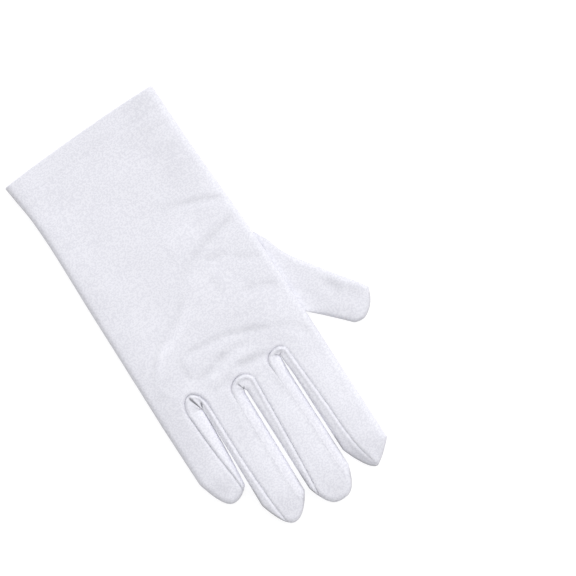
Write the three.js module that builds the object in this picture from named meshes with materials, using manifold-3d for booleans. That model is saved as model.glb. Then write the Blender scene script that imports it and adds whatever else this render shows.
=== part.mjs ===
// A wrist length dress glove of thin white knit, for the right hand. It lies palm down, with its thumb
// folded under the hand. The hand body is one piece of cloth, folded at the index finger's side and sewn
// at the little finger's side, with its cuff turned in as a hem. A fourchette, the strip that makes a
// finger round, is sewn between each two fingers, and the thumb is set into an oval hole in the palm.
// Lengths are in millimetres and angles in degrees. +X points to the little finger, +Y to the fingertips
// and +Z up. The origin is on the surface that the glove lies on, under the middle of its outline.

import * as THREE from "three";
import { mergeVertices } from "three/addons/utils/BufferGeometryUtils.js";
import Module from "manifold-3d";

const wasm = await Module();
wasm.setup();

// Sizes of the hand body
const PALM_LENGTH = 151.9; // from the corners of the cuff to the line of the finger crotches
const HAND_WIDTH = 94.9; // across the finger roots, as it lies
const MIDDLE_LENGTH = 79.2; // from the crotch line to the tip of the middle finger
const CUFF_SLANT = 3.8; // how much further the cuff reaches on the thumb's side
const CUFF_BOW = 1; // how much further the cuff's middle reaches than its corners
const HAND_HEIGHT = 11.6; // from the surface to the back of the hand
const FINGER_HEIGHT = 11;
const HEM_DEPTH = 11;

// Cloth and seams
const WALL = 1;
const HEM_WALL = 1.6; // two layers pressed together
const SEAM_GAP = 0.3; // between two pieces that are sewn together
const TOP_ROLL = 5; // how far in from an edge the cloth has rolled over to the top
const UNDER_ROLL = 3.8; // the same, to the underside
const EDGE_LEVEL = 0.42; // height of an edge's outermost line, as a share of the height there

// Sizes of the thumb
const THUMB_LENGTH = 100.2; // from its base under the palm to its tip
const THUMB_SHOWN = 48.2; // how much of its middle line lies beyond the edge of the hand
const THUMB_WIDTH = 24;
const THUMB_HEIGHT = 8; // where it lies free
const THUMB_TUCKED = 4; // its height under the palm
const THUMB_BASE_HEIGHT = 3.6; // its height at the end of its base
const THUMB_SPLAY = 37; // its angle to the fingers
const THUMB_HOLE_LENGTH = 27; // along the thumb
const THUMB_HOLE_WIDTH = 25;
const BULGE = 0.6; // how far the thumb under the hand pushes the back of the hand up
const LIFT_REACH = 27; // how far from the thumb the palm comes down to the surface again

// Fingers in order from the thumb's side. A width is a share of the hand's width, and a length, which runs
// from the crotch line, one of the middle finger's. The other columns are shares of the finger's own width:
// lean is how far the tip drifts to the little finger's side, pinch how much narrower the tip is on the
// thumb's side, apex where the furthest point lies across the tip, and the drops how far the two shoulders
// lie behind it. A high power is a blunt shoulder.
const FINGERS = [
  { name: "index", width: 0.2413, length: 0.938, lean: -0.01, pinch: 0, apex: 0.53,
    thumbDrop: 0.43, littleDrop: 0.72, thumbPower: 1.25, littlePower: 1.75 },
  { name: "middle", width: 0.2487, length: 1, lean: 0.01, pinch: -0.01, apex: 0.5,
    thumbDrop: 0.58, littleDrop: 0.6, thumbPower: 2.9, littlePower: 2.9 },
  { name: "ring", width: 0.254, length: 0.958, lean: 0.07, pinch: -0.01, apex: 0.55,
    thumbDrop: 0.5, littleDrop: 0.72, thumbPower: 1.9, littlePower: 2.1 },
  { name: "little", width: 0.2203, length: 0.64, lean: -0.01, pinch: 0.09, apex: 0.46,
    thumbDrop: 0.22, littleDrop: 0.8, thumbPower: 2, littlePower: 2.3 },
];
const widthOf = (finger) => finger.width * HAND_WIDTH;
const lengthOf = (finger) => finger.length * MIDDLE_LENGTH;

// Crotches between the fingers. Three columns are shares of a quarter of the hand's width: gap is the space
// between the two fingers, rise how far its end lies beyond the crotch line, and bend how far the seam runs
// below that. The rest are shares of the width of the finger before or after the crotch: how much of it the
// fourchette covers at its root, middle and shoulder, and how far across its tip the seam ends.
const CROTCHES = [
  { name: "index_middle", gap: 0.055, rise: -0.05, bend: 0.22,
    before: { root: 0.2, middle: 0.27, shoulder: 0.32, end: 0.48 },
    after: { root: 0.28, middle: 0.21, shoulder: 0.2, end: 0.12 } },
  { name: "middle_ring", gap: 0.055, rise: 0.16, bend: 0.26,
    before: { root: 0.28, middle: 0.19, shoulder: 0.12, end: 0.08 },
    after: { root: 0.26, middle: 0.25, shoulder: 0.23, end: 0.14 } },
  { name: "ring_little", gap: 0.034, rise: 0.04, bend: 0.42,
    before: { root: 0.16, middle: 0.17, shoulder: 0.22, end: 0.28 },
    after: { root: 0.3, middle: 0.25, shoulder: 0.14, end: 0.08 } },
];
const CROTCH_UNIT = HAND_WIDTH / FINGERS.length;

// Edges of the hand, at shares of the palm's length, as shares of half the hand's width
const SIDE_EDGES = [
  { at: 0, thumb: 0.914, little: 1.035 },
  { at: 0.07, thumb: 0.918, little: 1.008 },
  { at: 0.14, thumb: 0.923, little: 0.982 },
  { at: 0.27, thumb: 0.935, little: 0.97 },
  { at: 0.5, thumb: 0.969, little: 0.983 },
  { at: 0.73, thumb: 0.992, little: 0.99 },
  { at: 1, thumb: 1, little: 1 },
];

// Edges of the thumb, at shares of its length, as shares of half its width.
const THUMB_EDGES = [
  { at: 0, outer: 1.2, inner: 1.15 },
  { at: 0.12, outer: 1.34, inner: 1.3 },
  { at: 0.32, outer: 1.22, inner: 1.38 },
  { at: 0.4, outer: 1.03, inner: 1.36 },
  { at: 0.49, outer: 0.9, inner: 1.32 },
  { at: 0.66, outer: 0.86, inner: 1.18 },
  { at: 0.78, outer: 0.83, inner: 1.05 },
  { at: 0.9, outer: 0.84, inner: 0.94 },
  { at: 1, outer: 0.8, inner: 0.86 },
];
// Ends of the thumb, in the finger table's terms
const THUMB_TIP = { apex: 0.55, outerDrop: 0.18, innerDrop: 0.2, outerPower: 1.85, innerPower: 3.3 };
const THUMB_BASE = { apex: 0.5, outerDrop: 0.4, innerDrop: 0.4, outerPower: 2, innerPower: 2 };

// Folds in the back of the hand. Places across are shares of half the hand's width, places along are shares
// of the palm's length, and wide and deep are shares of the hand's height. A negative depth is a ridge.
const FOLDS = [
  { fromX: -0.96, fromY: 0.43, toX: -0.28, toY: 0.355, wide: 0.5, deep: 0.06 },
  { fromX: -0.94, fromY: 0.5, toX: 0.02, toY: 0.585, wide: 0.5, deep: 0.06 },
  { fromX: 0.02, fromY: 0.66, toX: 0.84, toY: 0.88, wide: 0.6, deep: -0.05 },
  { fromX: -0.62, fromY: 0.93, toX: 0.46, toY: 0.81, wide: 0.4, deep: 0.05 },
  { fromX: -0.4, fromY: 0.885, toX: 0.66, toY: 0.85, wide: 0.4, deep: -0.04 },
  { fromX: -0.44, fromY: 0.97, toX: -0.15, toY: 0.95, wide: 0.35, deep: 0.05 },
];

const mix = (a, b, t) => a + (b - a) * t;
const clamp = (t) => Math.min(Math.max(t, 0), 1);
const ease = (t) => clamp(t) ** 2 * (3 - 2 * clamp(t));

// Reads a column of a table at a place between its rows, along a smooth curve through them.
function readTable(rows, column, at) {
  const last = rows.length - 1;
  const next = Math.min(Math.max(rows.findIndex((row) => row.at >= at), 1), last);
  const slope = (i) => {
    const [before, after] = [rows[Math.max(i - 1, 0)], rows[Math.min(i + 1, last)]];
    return (after[column] - before[column]) / (after.at - before.at);
  };
  const [a, b] = [rows[next - 1], rows[next]];
  const span = b.at - a.at;
  const t = clamp((at - a.at) / span);
  return (
    mix(a[column], b[column], ease(t)) +
    span * t * (1 - t) * (slope(next - 1) * (1 - t) - slope(next) * t)
  );
}

// How far back the outline of a finger's or the thumb's end lies from its furthest point, at a share across
// it. The near side is the thumb's side of a finger, and the outer side of the thumb.
function endDrop(share, apex, near, far) {
  return share < apex
    ? near.drop * ((apex - share) / apex) ** near.power
    : far.drop * ((share - apex) / (1 - apex)) ** far.power;
}
const fingerDrop = (finger, share) =>
  endDrop(
    share,
    finger.apex,
    { drop: finger.thumbDrop, power: finger.thumbPower },
    { drop: finger.littleDrop, power: finger.littlePower },
  );
const thumbDrop = (end, share) =>
  endDrop(
    share,
    end.apex,
    { drop: end.outerDrop, power: end.outerPower },
    { drop: end.innerDrop, power: end.innerPower },
  );

// Rise of cloth that rolls over from an edge: 0 at the edge and 1 from the roll's reach inwards.
const rolled = (distance, reach) => Math.sqrt(1 - (1 - clamp(distance / reach)) ** 2);

// Places across a strip of cloth: close together where it rolls over at its edges.
function placesAcross(left, right, reach, inner) {
  const near = [0, 0.3 * reach, reach];
  const places = near.map((step) => left + step);
  for (let i = 1; i <= inner; i++)
    places.push(mix(left + reach, right - reach, i / (inner + 1)));
  return places.concat(near.reverse().map((step) => right - step));
}

// Distance of a point from a broken line
function distanceTo(line, [x, y]) {
  let least = Infinity;
  for (const [[ax, ay], [bx, by]] of line) {
    const [dx, dy] = [bx - ax, by - ay];
    const t = clamp(((x - ax) * dx + (y - ay) * dy) / (dx * dx + dy * dy || 1));
    least = Math.min(least, Math.hypot(x - ax - t * dx, y - ay - t * dy));
  }
  return least;
}
const segmentsOf = (points) => points.slice(1).map((point, i) => [points[i], point]);

// Thumb: its own frame runs along its middle line from the base, and across to the inner side
const splay = THREE.MathUtils.degToRad(THUMB_SPLAY);
const ALONG = [-Math.sin(splay), Math.cos(splay)];
const ACROSS = [Math.cos(splay), Math.sin(splay)];
const THUMB_CROSSING = [-HAND_WIDTH / 2, 0.767 * PALM_LENGTH]; // its middle line leaves the hand here
const THUMB_START = THUMB_SHOWN - THUMB_LENGTH; // its base's place along the middle line

function fromThumb(along, across) {
  return [0, 1].map((i) => THUMB_CROSSING[i] + along * ALONG[i] + across * ACROSS[i]);
}
function toThumb(x, y) {
  const [dx, dy] = [x - THUMB_CROSSING[0], y - THUMB_CROSSING[1]];
  return [dx * ALONG[0] + dy * ALONG[1], dx * ACROSS[0] + dy * ACROSS[1]];
}
function thumbEdge(side, along) {
  const at = (along - THUMB_START) / THUMB_LENGTH;
  return (readTable(THUMB_EDGES, side, at) * THUMB_WIDTH) / 2;
}

// How far the thumb under the palm lifts the cloth above it off the surface
function liftAt(x, y) {
  const [along, across] = toThumb(x, y);
  const inside = Math.max(along, THUMB_START);
  const beside = Math.max(across - thumbEdge("inner", inside), -across - thumbEdge("outer", inside), 0);
  const behind = Math.max(THUMB_START - along, 0);
  const tucked = mix(THUMB_BASE_HEIGHT, THUMB_TUCKED, clamp((along - THUMB_START) / THUMB_WIDTH));
  return (tucked + SEAM_GAP) * (1 - ease(Math.hypot(beside, behind) / LIFT_REACH));
}

// Sum of the folds at a point of the back of the hand
function foldAt(x, y) {
  let sum = 0;
  for (const fold of FOLDS) {
    const [ax, ay] = [(fold.fromX * HAND_WIDTH) / 2, fold.fromY * PALM_LENGTH];
    const [dx, dy] = [(fold.toX * HAND_WIDTH) / 2 - ax, fold.toY * PALM_LENGTH - ay];
    const length = Math.hypot(dx, dy);
    const along = ((x - ax) * dx + (y - ay) * dy) / length;
    const across = ((x - ax) * dy - (y - ay) * dx) / length;
    const past = Math.max(-along, along - length, 0);
    const wide = fold.wide * HAND_HEIGHT;
    sum -= fold.deep * HAND_HEIGHT * Math.exp(-((across / wide) ** 2) - (past / wide) ** 2);
  }
  return sum;
}

// Hand: the plan of its outline. An inset moves the outline inwards, for the inside of the cloth.
function handEdge(side, share) {
  const half = side === "thumb" ? -HAND_WIDTH / 2 : HAND_WIDTH / 2;
  return readTable(SIDE_EDGES, side, share) * half;
}
const cuffLine = (x) =>
  (CUFF_SLANT * x) / HAND_WIDTH - CUFF_BOW * (1 - clamp(Math.abs(2 * x) / HAND_WIDTH) ** 2);
const crotchEnd = (k) =>
  PALM_LENGTH + (CROTCHES[k] ? CROTCHES[k].rise * CROTCH_UNIT : 0);

function fingerPlan(k, inset) {
  const finger = FINGERS[k];
  const width = widthOf(finger);
  const gaps = CROTCHES.reduce((sum, crotch) => sum + crotch.gap * CROTCH_UNIT, 0);
  const spare = HAND_WIDTH - gaps - FINGERS.reduce((sum, other) => sum + widthOf(other), 0);
  const before = FINGERS.slice(0, k).map((other, i) => widthOf(other) + CROTCHES[i].gap * CROTCH_UNIT);
  const start = before.reduce((sum, step) => sum + step, (spare - HAND_WIDTH) / 2);
  const drift = (t) => finger.lean * width * t;
  const left = (t) => start + drift(t) + finger.pinch * width * t * t;
  const right = (t) => start + width + drift(t);
  const shareAt = (x, t) => (x - left(t)) / (right(t) - left(t));
  const root = (share) => mix(crotchEnd(k - 1), crotchEnd(k), share) - inset;
  const tipLine = (share) =>
    PALM_LENGTH + lengthOf(finger) - width * fingerDrop(finger, share);
  const tip = (share) => {
    const step = 0.02;
    const steep = (tipLine(share + step) - tipLine(share - step)) / (2 * step * width);
    return tipLine(share) - inset * Math.hypot(1, clamp(Math.abs(steep)));
  };
  const point = (share, t) => {
    const x = mix(left(t), right(t), share);
    return [x, mix(root(share), tip(share), t)];
  };
  const row = (t, reach) =>
    placesAcross(left(t) + inset, right(t) - inset, reach, 2).map((x) => point(shareAt(x, t), t));
  return { row, point };
}

// Shares along a finger and along the palm at which there is a row of points
const FINGER_ROWS = [0, 0.07, 0.2, 0.35, 0.5, 0.65, 0.78, 0.88, 0.94, 0.98, 1];
const HEM_ROW = HEM_DEPTH / PALM_LENGTH;
const PALM_ROWS = [
  0, HEM_ROW, HEM_ROW + 0.008, 0.15, 0.22, 0.29, 0.36, 0.43, 0.49, 0.55, 0.61, 0.67, 0.73, 0.79, 0.85, 0.9,
  0.94, 0.97, 1,
];

// The closed body of the whole hand, filled. Its skin is the outside of the cloth, or the inside if inset.
function handBody({ inset, mouthInset, past }) {
  const reach = TOP_ROLL - inset;
  const fingers = FINGERS.map((_, k) => fingerPlan(k, inset));
  const grids = fingers.map((finger) => FINGER_ROWS.map((t) => finger.row(t, reach)));
  const knuckles = grids.flatMap((rows) => rows[0]);

  const palm = PALM_ROWS.map((share) => {
    const inwards = share <= HEM_ROW ? mouthInset : inset;
    const left = handEdge("thumb", share) + inwards;
    const right = handEdge("little", share) - inwards;
    const near = TOP_ROLL - inwards;
    const spread = placesAcross(left, right, near, knuckles.length - 6);
    return knuckles.map(([knuckleX, knuckleY], i) => {
      const x = mix(spread[i], knuckleX, ease((share - 0.55) / 0.45));
      return [x, mix(cuffLine(x), knuckleY, share)];
    });
  });
  palm[palm.length - 1] = knuckles;
  const outline = segmentsOf(palm.map((row) => row[0]))
    .concat(segmentsOf(palm.map((row) => row[row.length - 1])))
    .concat(
      grids.flatMap((rows) => [
        ...segmentsOf(rows.map((row) => row[0])),
        ...segmentsOf(rows.map((row) => row[row.length - 1])),
        ...segmentsOf(rows[rows.length - 1]),
      ]),
    )
    .concat(grids.slice(1).map((rows, k) => [grids[k][0].at(-1), rows[0][0]]));
  if (past > 0) palm.unshift(palm[0].map(([x, y]) => [x, y - past]));

  const hemEnd = HEM_DEPTH + 0.5 * WALL;
  const heights = ([x, y]) => {
    const cloth = y - mix(cuffLine(x), 0, HEM_ROW) < hemEnd ? mouthInset : inset;
    const distance = distanceTo(outline, [x, Math.max(y, cuffLine(x))]);
    const lift = liftAt(x, y);
    const height =
      mix(HAND_HEIGHT, FINGER_HEIGHT, ease((y - 0.85 * PALM_LENGTH) / (0.3 * PALM_LENGTH))) +
      (BULGE * lift) / (THUMB_TUCKED + SEAM_GAP) - lift;
    const middle = lift + EDGE_LEVEL * height;
    const over = rolled(distance, TOP_ROLL - cloth);
    const under = rolled(distance, UNDER_ROLL - cloth);
    return {
      top: middle + ((1 - EDGE_LEVEL) * height - cloth + foldAt(x, y)) * over,
      bottom: middle - (EDGE_LEVEL * height - cloth) * under,
    };
  };
  return closedBody([palm, ...grids], heights);
}

// A closed body from grids of plan points that share edges, with a top and a bottom height at each point.
// The ends of the first grid's first row are joined by an upright wall.
function closedBody(grids, heights) {
  const corners = [];
  const addFace = (...points) => {
    for (let i = 2; i < points.length; i++) {
      const [a, b, c] = [points[0], points[i - 1], points[i]].map((p) => new THREE.Vector3(...p));
      if (b.clone().sub(a).cross(c.clone().sub(a)).length() > 1e-7) corners.push(a, b, c);
    }
  };
  const lifted = grids.map((rows) =>
    rows.map((row) =>
      row.map((point) => {
        const { top, bottom } = heights(point);
        return { top: [...point, top], bottom: [...point, bottom] };
      }),
    ),
  );
  for (const rows of lifted)
    for (let i = 1; i < rows.length; i++)
      for (let j = 1; j < rows[i].length; j++) {
        const [a, b, c, d] = [rows[i - 1][j - 1], rows[i - 1][j], rows[i][j], rows[i][j - 1]];
        addFace(a.top, b.top, c.top, d.top);
        addFace(d.bottom, c.bottom, b.bottom, a.bottom);
      }
  const mouth = lifted[0][0];
  for (let j = 1; j < mouth.length; j++)
    addFace(mouth[j - 1].bottom, mouth[j].bottom, mouth[j].top, mouth[j - 1].top);
  return solidOf(new THREE.BufferGeometry().setFromPoints(corners));
}

// Solids for joining and cutting, and geometry for showing
function solidOf(geometry) {
  const bare = new THREE.BufferGeometry().setAttribute("position", geometry.getAttribute("position"));
  if (geometry.index) bare.setIndex(geometry.index);
  const merged = mergeVertices(bare, 1e-4);
  return new wasm.Manifold(
    new wasm.Mesh({
      numProp: 3,
      vertProperties: merged.attributes.position.array,
      triVerts: new Uint32Array(merged.index.array),
    }),
  );
}
function geometryOf(solid) {
  const { vertProperties, triVerts } = solid.getMesh();
  const geometry = new THREE.BufferGeometry();
  geometry.setAttribute("position", new THREE.BufferAttribute(vertProperties, 3));
  geometry.setIndex(new THREE.BufferAttribute(triVerts, 1));
  return geometry;
}
function prism(points, bottom, top) {
  const shape = new THREE.Shape(points.map((point) => new THREE.Vector2(...point)));
  const geometry = new THREE.ExtrudeGeometry(shape, { depth: top - bottom, bevelEnabled: false });
  return solidOf(geometry.translate(0, 0, bottom));
}

// The plan of a fourchette: the band between its seam and the gap between the two fingers. A positive
// grow moves the seam outwards.
function fourchettePlan(k, grow) {
  const crotch = CROTCHES[k];
  const shares = Array.from({ length: 13 }, (_, i) => i / 12);
  const side = (finger, widths, mirrored) => {
    const plan = fingerPlan(finger, 0);
    const width = widthOf(FINGERS[finger]);
    const length = lengthOf(FINGERS[finger]);
    const clear = (0.3 * crotch.gap * CROTCH_UNIT) / width;
    const place = (share, t) => plan.point(mirrored ? share : 1 - share, t);
    const rows = [
      { at: 0, wide: widths.root },
      { at: 0.45, wide: widths.middle },
      { at: 0.8, wide: widths.shoulder },
      { at: 1, wide: widths.end },
    ];
    const seam = shares.map((t) =>
      place(readTable(rows, "wide", t) + grow / width, t * (1 + grow / length)),
    );
    const past = 1 + (2 * WALL) / length;
    const around = shares.map((t) => place(mix(widths.end + grow / width, -clear, t), past));
    const edge = [...shares].reverse().map((t) => place(-clear, Math.max(t, 0.012)));
    return { seam, outside: [...around, ...edge] };
  };
  const before = side(k, crotch.before, false);
  const after = side(k + 1, crotch.after, true);
  const [from, to] = [before.seam[0], after.seam[0]];
  const centre = [(from[0] + to[0]) / 2, (from[1] + to[1]) / 2];
  const bend = Array.from({ length: 9 }, (_, i) => {
    const angle = (Math.PI * (i + 1)) / 10;
    return [
      centre[0] - ((to[0] - from[0]) / 2) * Math.cos(angle),
      centre[1] - (crotch.bend * CROTCH_UNIT + grow) * Math.sin(angle),
    ];
  });
  return [
    ...before.outside.reverse(),
    ...before.seam.reverse(),
    ...bend,
    ...after.seam,
    ...after.outside,
  ];
}

// Thumb: a flat pocket with a rounded tip and base, open upwards under the hole in the palm
function thumbBody(inset) {
  const tipAt = (share) => THUMB_SHOWN - THUMB_WIDTH * thumbDrop(THUMB_TIP, share);
  const baseAt = (share) => THUMB_START + THUMB_WIDTH * thumbDrop(THUMB_BASE, share);
  const rows = [0, 0.03, 0.08, 0.15, 0.22, 0.29, 0.36, 0.43, 0.5, 0.57, 0.65, 0.75, 0.84, 0.92, 0.97, 1];
  const grid = rows.map((t) => {
    const along = mix(THUMB_START, THUMB_SHOWN, t);
    const [outer, inner] = [-thumbEdge("outer", along), thumbEdge("inner", along)];
    return placesAcross(outer + inset, inner - inset, TOP_ROLL - inset, 2).map((across) => {
      const share = (across - outer) / (inner - outer);
      return fromThumb(mix(baseAt(share) + inset, tipAt(share) - inset, t), across);
    });
  });
  const outline = [
    ...segmentsOf(grid[0]),
    ...segmentsOf(grid.at(-1)),
    ...segmentsOf(grid.map((row) => row[0])),
    ...segmentsOf(grid.map((row) => row.at(-1))),
  ];
  const heights = ([x, y]) => {
    const distance = distanceTo(outline, [x, y]);
    const beyond = handEdge("thumb", clamp(y / PALM_LENGTH)) - x;
    const height = mix(liftAt(x, y) - SEAM_GAP, THUMB_HEIGHT, ease((beyond - WALL) / TOP_ROLL / 2));
    const middle = EDGE_LEVEL * height;
    return {
      top: middle + ((1 - EDGE_LEVEL) * height - inset) * rolled(distance, TOP_ROLL - inset),
      bottom: middle - (EDGE_LEVEL * height - inset) * rolled(distance, UNDER_ROLL - inset),
    };
  };
  return closedBody([grid], heights);
}

// The hole through the palm and the top of the thumb under it
function thumbHole() {
  const centre = THUMB_START + 0.62 * THUMB_HOLE_LENGTH;
  const points = Array.from({ length: 24 }, (_, i) => {
    const angle = (2 * Math.PI * i) / 24;
    return fromThumb(
      centre + (THUMB_HOLE_LENGTH / 2) * Math.cos(angle),
      (THUMB_HOLE_WIDTH / 2) * Math.sin(angle),
    );
  }).reverse();
  return prism(points, THUMB_BASE_HEIGHT / 2, THUMB_TUCKED + SEAM_GAP + 2 * WALL);
}

// Assembly
const outside = handBody({ inset: 0, mouthInset: 0, past: 0 });
const hollow = handBody({ inset: WALL, mouthInset: HEM_WALL, past: HEM_DEPTH / 2 });
const shell = outside.subtract(hollow);
const hole = thumbHole();
const above = 3 * HAND_HEIGHT;

let hand = shell.subtract(hole);
const pieces = [];
CROTCHES.forEach((crotch, k) => {
  hand = hand.subtract(prism(fourchettePlan(k, SEAM_GAP / 2), -above, above));
  const strip = shell.intersect(prism(fourchettePlan(k, -SEAM_GAP / 2), -above, above));
  pieces.push([`fourchette_${crotch.name}`, strip]);
});
pieces.unshift(["hand_body", hand]);
pieces.push(["thumb", thumbBody(0).subtract(thumbBody(WALL)).subtract(hole)]);

const glove = new THREE.Group();
for (const [name, solid] of pieces) {
  const cloth = new THREE.MeshStandardMaterial({ color: 0xeeeef4, roughness: 0.8, metalness: 0 });
  const mesh = new THREE.Mesh(geometryOf(solid), cloth);
  mesh.name = name;
  glove.add(mesh);
}

// The origin goes under the middle of the outline.
const box = new THREE.Box3().setFromObject(glove);
const middle = box.getCenter(new THREE.Vector3());
glove.position.set(-middle.x, -middle.y, -box.min.z);

export default glove;
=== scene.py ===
# %% [markdown]
# # A wrist length dress glove
#
# The real glove is sewn from thin white knit. One piece of cloth makes the palm and the back of the hand.
# It is folded at the index finger's side and sewn at the little finger's side. Narrow strips, called
# fourchettes, are sewn in between the fingers and make them round, and the thumb is a pocket of its own.
# The glove lies palm down with its thumb folded under the hand.
#
# The cloth's sizes are in millimetres until its points go into a mesh, in metres.

import bmesh
import bpy
import numpy as np
from mathutils import Matrix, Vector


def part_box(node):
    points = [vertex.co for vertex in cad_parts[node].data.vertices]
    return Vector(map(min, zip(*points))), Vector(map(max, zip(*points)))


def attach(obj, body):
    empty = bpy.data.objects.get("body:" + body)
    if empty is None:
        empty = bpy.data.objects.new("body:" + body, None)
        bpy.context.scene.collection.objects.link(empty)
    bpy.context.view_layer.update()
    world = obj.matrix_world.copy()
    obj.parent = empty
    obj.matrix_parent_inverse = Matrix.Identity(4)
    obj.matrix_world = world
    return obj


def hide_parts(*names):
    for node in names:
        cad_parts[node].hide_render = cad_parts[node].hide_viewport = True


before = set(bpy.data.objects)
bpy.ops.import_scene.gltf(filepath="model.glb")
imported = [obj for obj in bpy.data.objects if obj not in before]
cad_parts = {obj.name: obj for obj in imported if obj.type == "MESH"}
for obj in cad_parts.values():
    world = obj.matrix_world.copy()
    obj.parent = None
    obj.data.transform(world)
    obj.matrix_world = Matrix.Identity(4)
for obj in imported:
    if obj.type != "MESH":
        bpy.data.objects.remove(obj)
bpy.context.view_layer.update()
print("nodes:", sorted(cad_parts))

# %% [markdown]
# ## The camera
#
# The glove is seen from straight above, turned so that its fingers point down to the right. A camera far
# away with a long lens keeps it nearly free of perspective, as a picture of a flat lying garment is. Its
# place is the point of the surface that lies in the middle of the picture.

# %% Camera
PICTURE_WIDTH = 0.2984  # metres that the picture covers
PICTURE_MIDDLE = (-0.0299, 0.0093)
PICTURE_TURN = np.radians(32.7)  # the angle between the fingers and straight down in the picture
CAMERA_HEIGHT = 1.6


def make_camera():
    """A camera looking down: its picture's up direction is turned back from the fingers' direction."""
    data = bpy.data.cameras.new("camera")
    data.sensor_width = 36
    data.lens = data.sensor_width * CAMERA_HEIGHT / PICTURE_WIDTH
    camera = bpy.data.objects.new("camera", data)
    bpy.context.scene.collection.objects.link(camera)
    sine, cosine = np.sin(PICTURE_TURN), np.cos(PICTURE_TURN)
    right, up = (-cosine, sine, 0), (-sine, -cosine, 0)
    turn = Matrix((right, up, (0, 0, 1))).transposed().to_4x4()
    camera.matrix_world = Matrix.Translation((*PICTURE_MIDDLE, CAMERA_HEIGHT)) @ turn
    bpy.context.scene.camera = camera
    return camera


camera = make_camera()
print("lens in millimetres:", round(camera.data.lens, 1))

# %% [markdown]
# ## Sizes of the glove
#
# A glove pattern is drawn flat, so the lesson starts from the glove's plan as it lies. Most sizes are the same
# as in the part's own source, because the cloth has to fit the model. A few differ by up to 1.5 mm, at the
# ring and little fingers and in the strip before them. The tables give shares and not lengths, which makes
# them easy to change.
#
# In the table of fingers, width is a share of the hand's width and length one of the middle finger's length.
# The rest are shares of the finger's own width. Lean moves the tip to the little finger's side, and pinch
# makes it narrower on the thumb's side. Apex is where the furthest point lies across the tip, and the drops
# say how far the tip's two shoulders lie behind it. A high power is a blunt shoulder.
#
# In the table of fourchettes, gap is the space between the two fingers, rise how far its end lies beyond the
# crotch line and bend how far the seam runs below that, as shares of a quarter of the hand's width. Before and
# after are the widths of the strip on the finger before the gap and on the one after it, as shares of the
# finger's width at four places from root to tip. Drawn says how hard the seam is pulled in, from one finger's
# tip down to the crotch and up to the next one's, because some seams show as lines and others hardly at all.
# Beside the first finger's tip, flat says how straight its side slopes down and square how squarely it curves
# over. Closed is the length in millimetres over which the two sides of the strip press together.

# %% Sizes in millimetres
PALM_LENGTH = 151.9
HAND_WIDTH = 94.9
MIDDLE_LENGTH = 79.2
CUFF_SLANT, CUFF_BOW = 3.8, 1.0
HAND_HEIGHT, FINGER_HEIGHT = 11.6, 11.0
HEM_DEPTH = 11.0
EDGE_LEVEL = 0.42  # height of the outline as a share of the glove's height
EDGE_RADIUS = 0.55  # of the cuff's soft edge
SEAM_GAP = 0.3
CLOTH = 0.5  # thickness of the knit

FINGERS = [
    dict(width=0.2413, length=0.938, lean=-0.01, pinch=0.0, apex=0.53,
         thumb_drop=0.43, little_drop=0.72, thumb_power=1.25, little_power=1.75),
    dict(width=0.2487, length=1.0, lean=0.01, pinch=-0.01, apex=0.5,
         thumb_drop=0.58, little_drop=0.6, thumb_power=2.9, little_power=2.9),
    dict(width=0.239, length=0.958, lean=0.07, pinch=-0.01, apex=0.55,
         thumb_drop=0.5, little_drop=0.72, thumb_power=1.9, little_power=2.1),
    dict(width=0.2353, length=0.64, lean=-0.01, pinch=0.12, apex=0.46,
         thumb_drop=0.22, little_drop=0.8, thumb_power=2.0, little_power=2.3),
]
FOURCHETTES = [
    dict(name="index_middle", gap=0.055, rise=-0.05, bend=0.22, flat=0.75, square=3.5, closed=12.0,
         before=(0.2, 0.27, 0.32, 0.48), after=(0.28, 0.21, 0.2, 0.12), drawn=(0.8, 0.5, 0.4, 1.5, -0.3, -0.3)),
    dict(name="middle_ring", gap=0.055, rise=0.16, bend=0.26, flat=0.1, square=4.2, closed=1.5,
         before=(0.3, 0.22, 0.15, 0.09), after=(0.26, 0.25, 0.23, 0.14), drawn=(0.7, 0.7, 0.4, 1.5, -0.3, -0.3)),
    dict(name="ring_little", gap=0.034, rise=0.04, bend=0.42, flat=0.1, square=4.2, closed=30.0,
         before=(0.16, 0.17, 0.22, 0.28), after=(0.34, 0.27, 0.16, 0.1), drawn=(0.7, 0.7, 0.7, 1.6, 1.2, 1.0)),
]
STRIP_WIDTHS_AT = (0, 0.45, 0.8, 1)
CROTCH_UNIT = HAND_WIDTH / len(FINGERS)
SIDE_EDGES = dict(at=(0, 0.07, 0.14, 0.27, 0.5, 0.73, 1),
                  thumb=(0.914, 0.918, 0.923, 0.935, 0.969, 0.992, 1),
                  little=(1.035, 1.008, 0.982, 0.97, 0.983, 0.99, 1))
print("fingers:", len(FINGERS), "fourchettes:", len(FOURCHETTES))

# %% [markdown]
# ## The plan
#
# A finger's plan is a function of two parameters: how far across it a point lies and how far along. The
# root line and the tip line bound it, so one formula gives the sides, the rounded tip and the seams. The
# outline of the whole hand is then a walk along the edges of these plans.

# %% Plan of a finger


def mix(a, b, t):
    """A value between a and b."""
    return a + (b - a) * t


def ease(t):
    """0 up to t = 0, 1 from t = 1, and a smooth step between them."""
    t = np.clip(t, 0, 1)
    return t * t * (3 - 2 * t)


def bell(value, middle, wide):
    """A bell curve: 1 at the middle, and 1/e of it one width away."""
    return np.exp(-(((value - middle) / wide) ** 2))


def lengths_along(line):
    """The place of each point of a broken line along it."""
    return np.concatenate([[0], np.cumsum(np.linalg.norm(np.diff(line, axis=0), axis=-1))])


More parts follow.
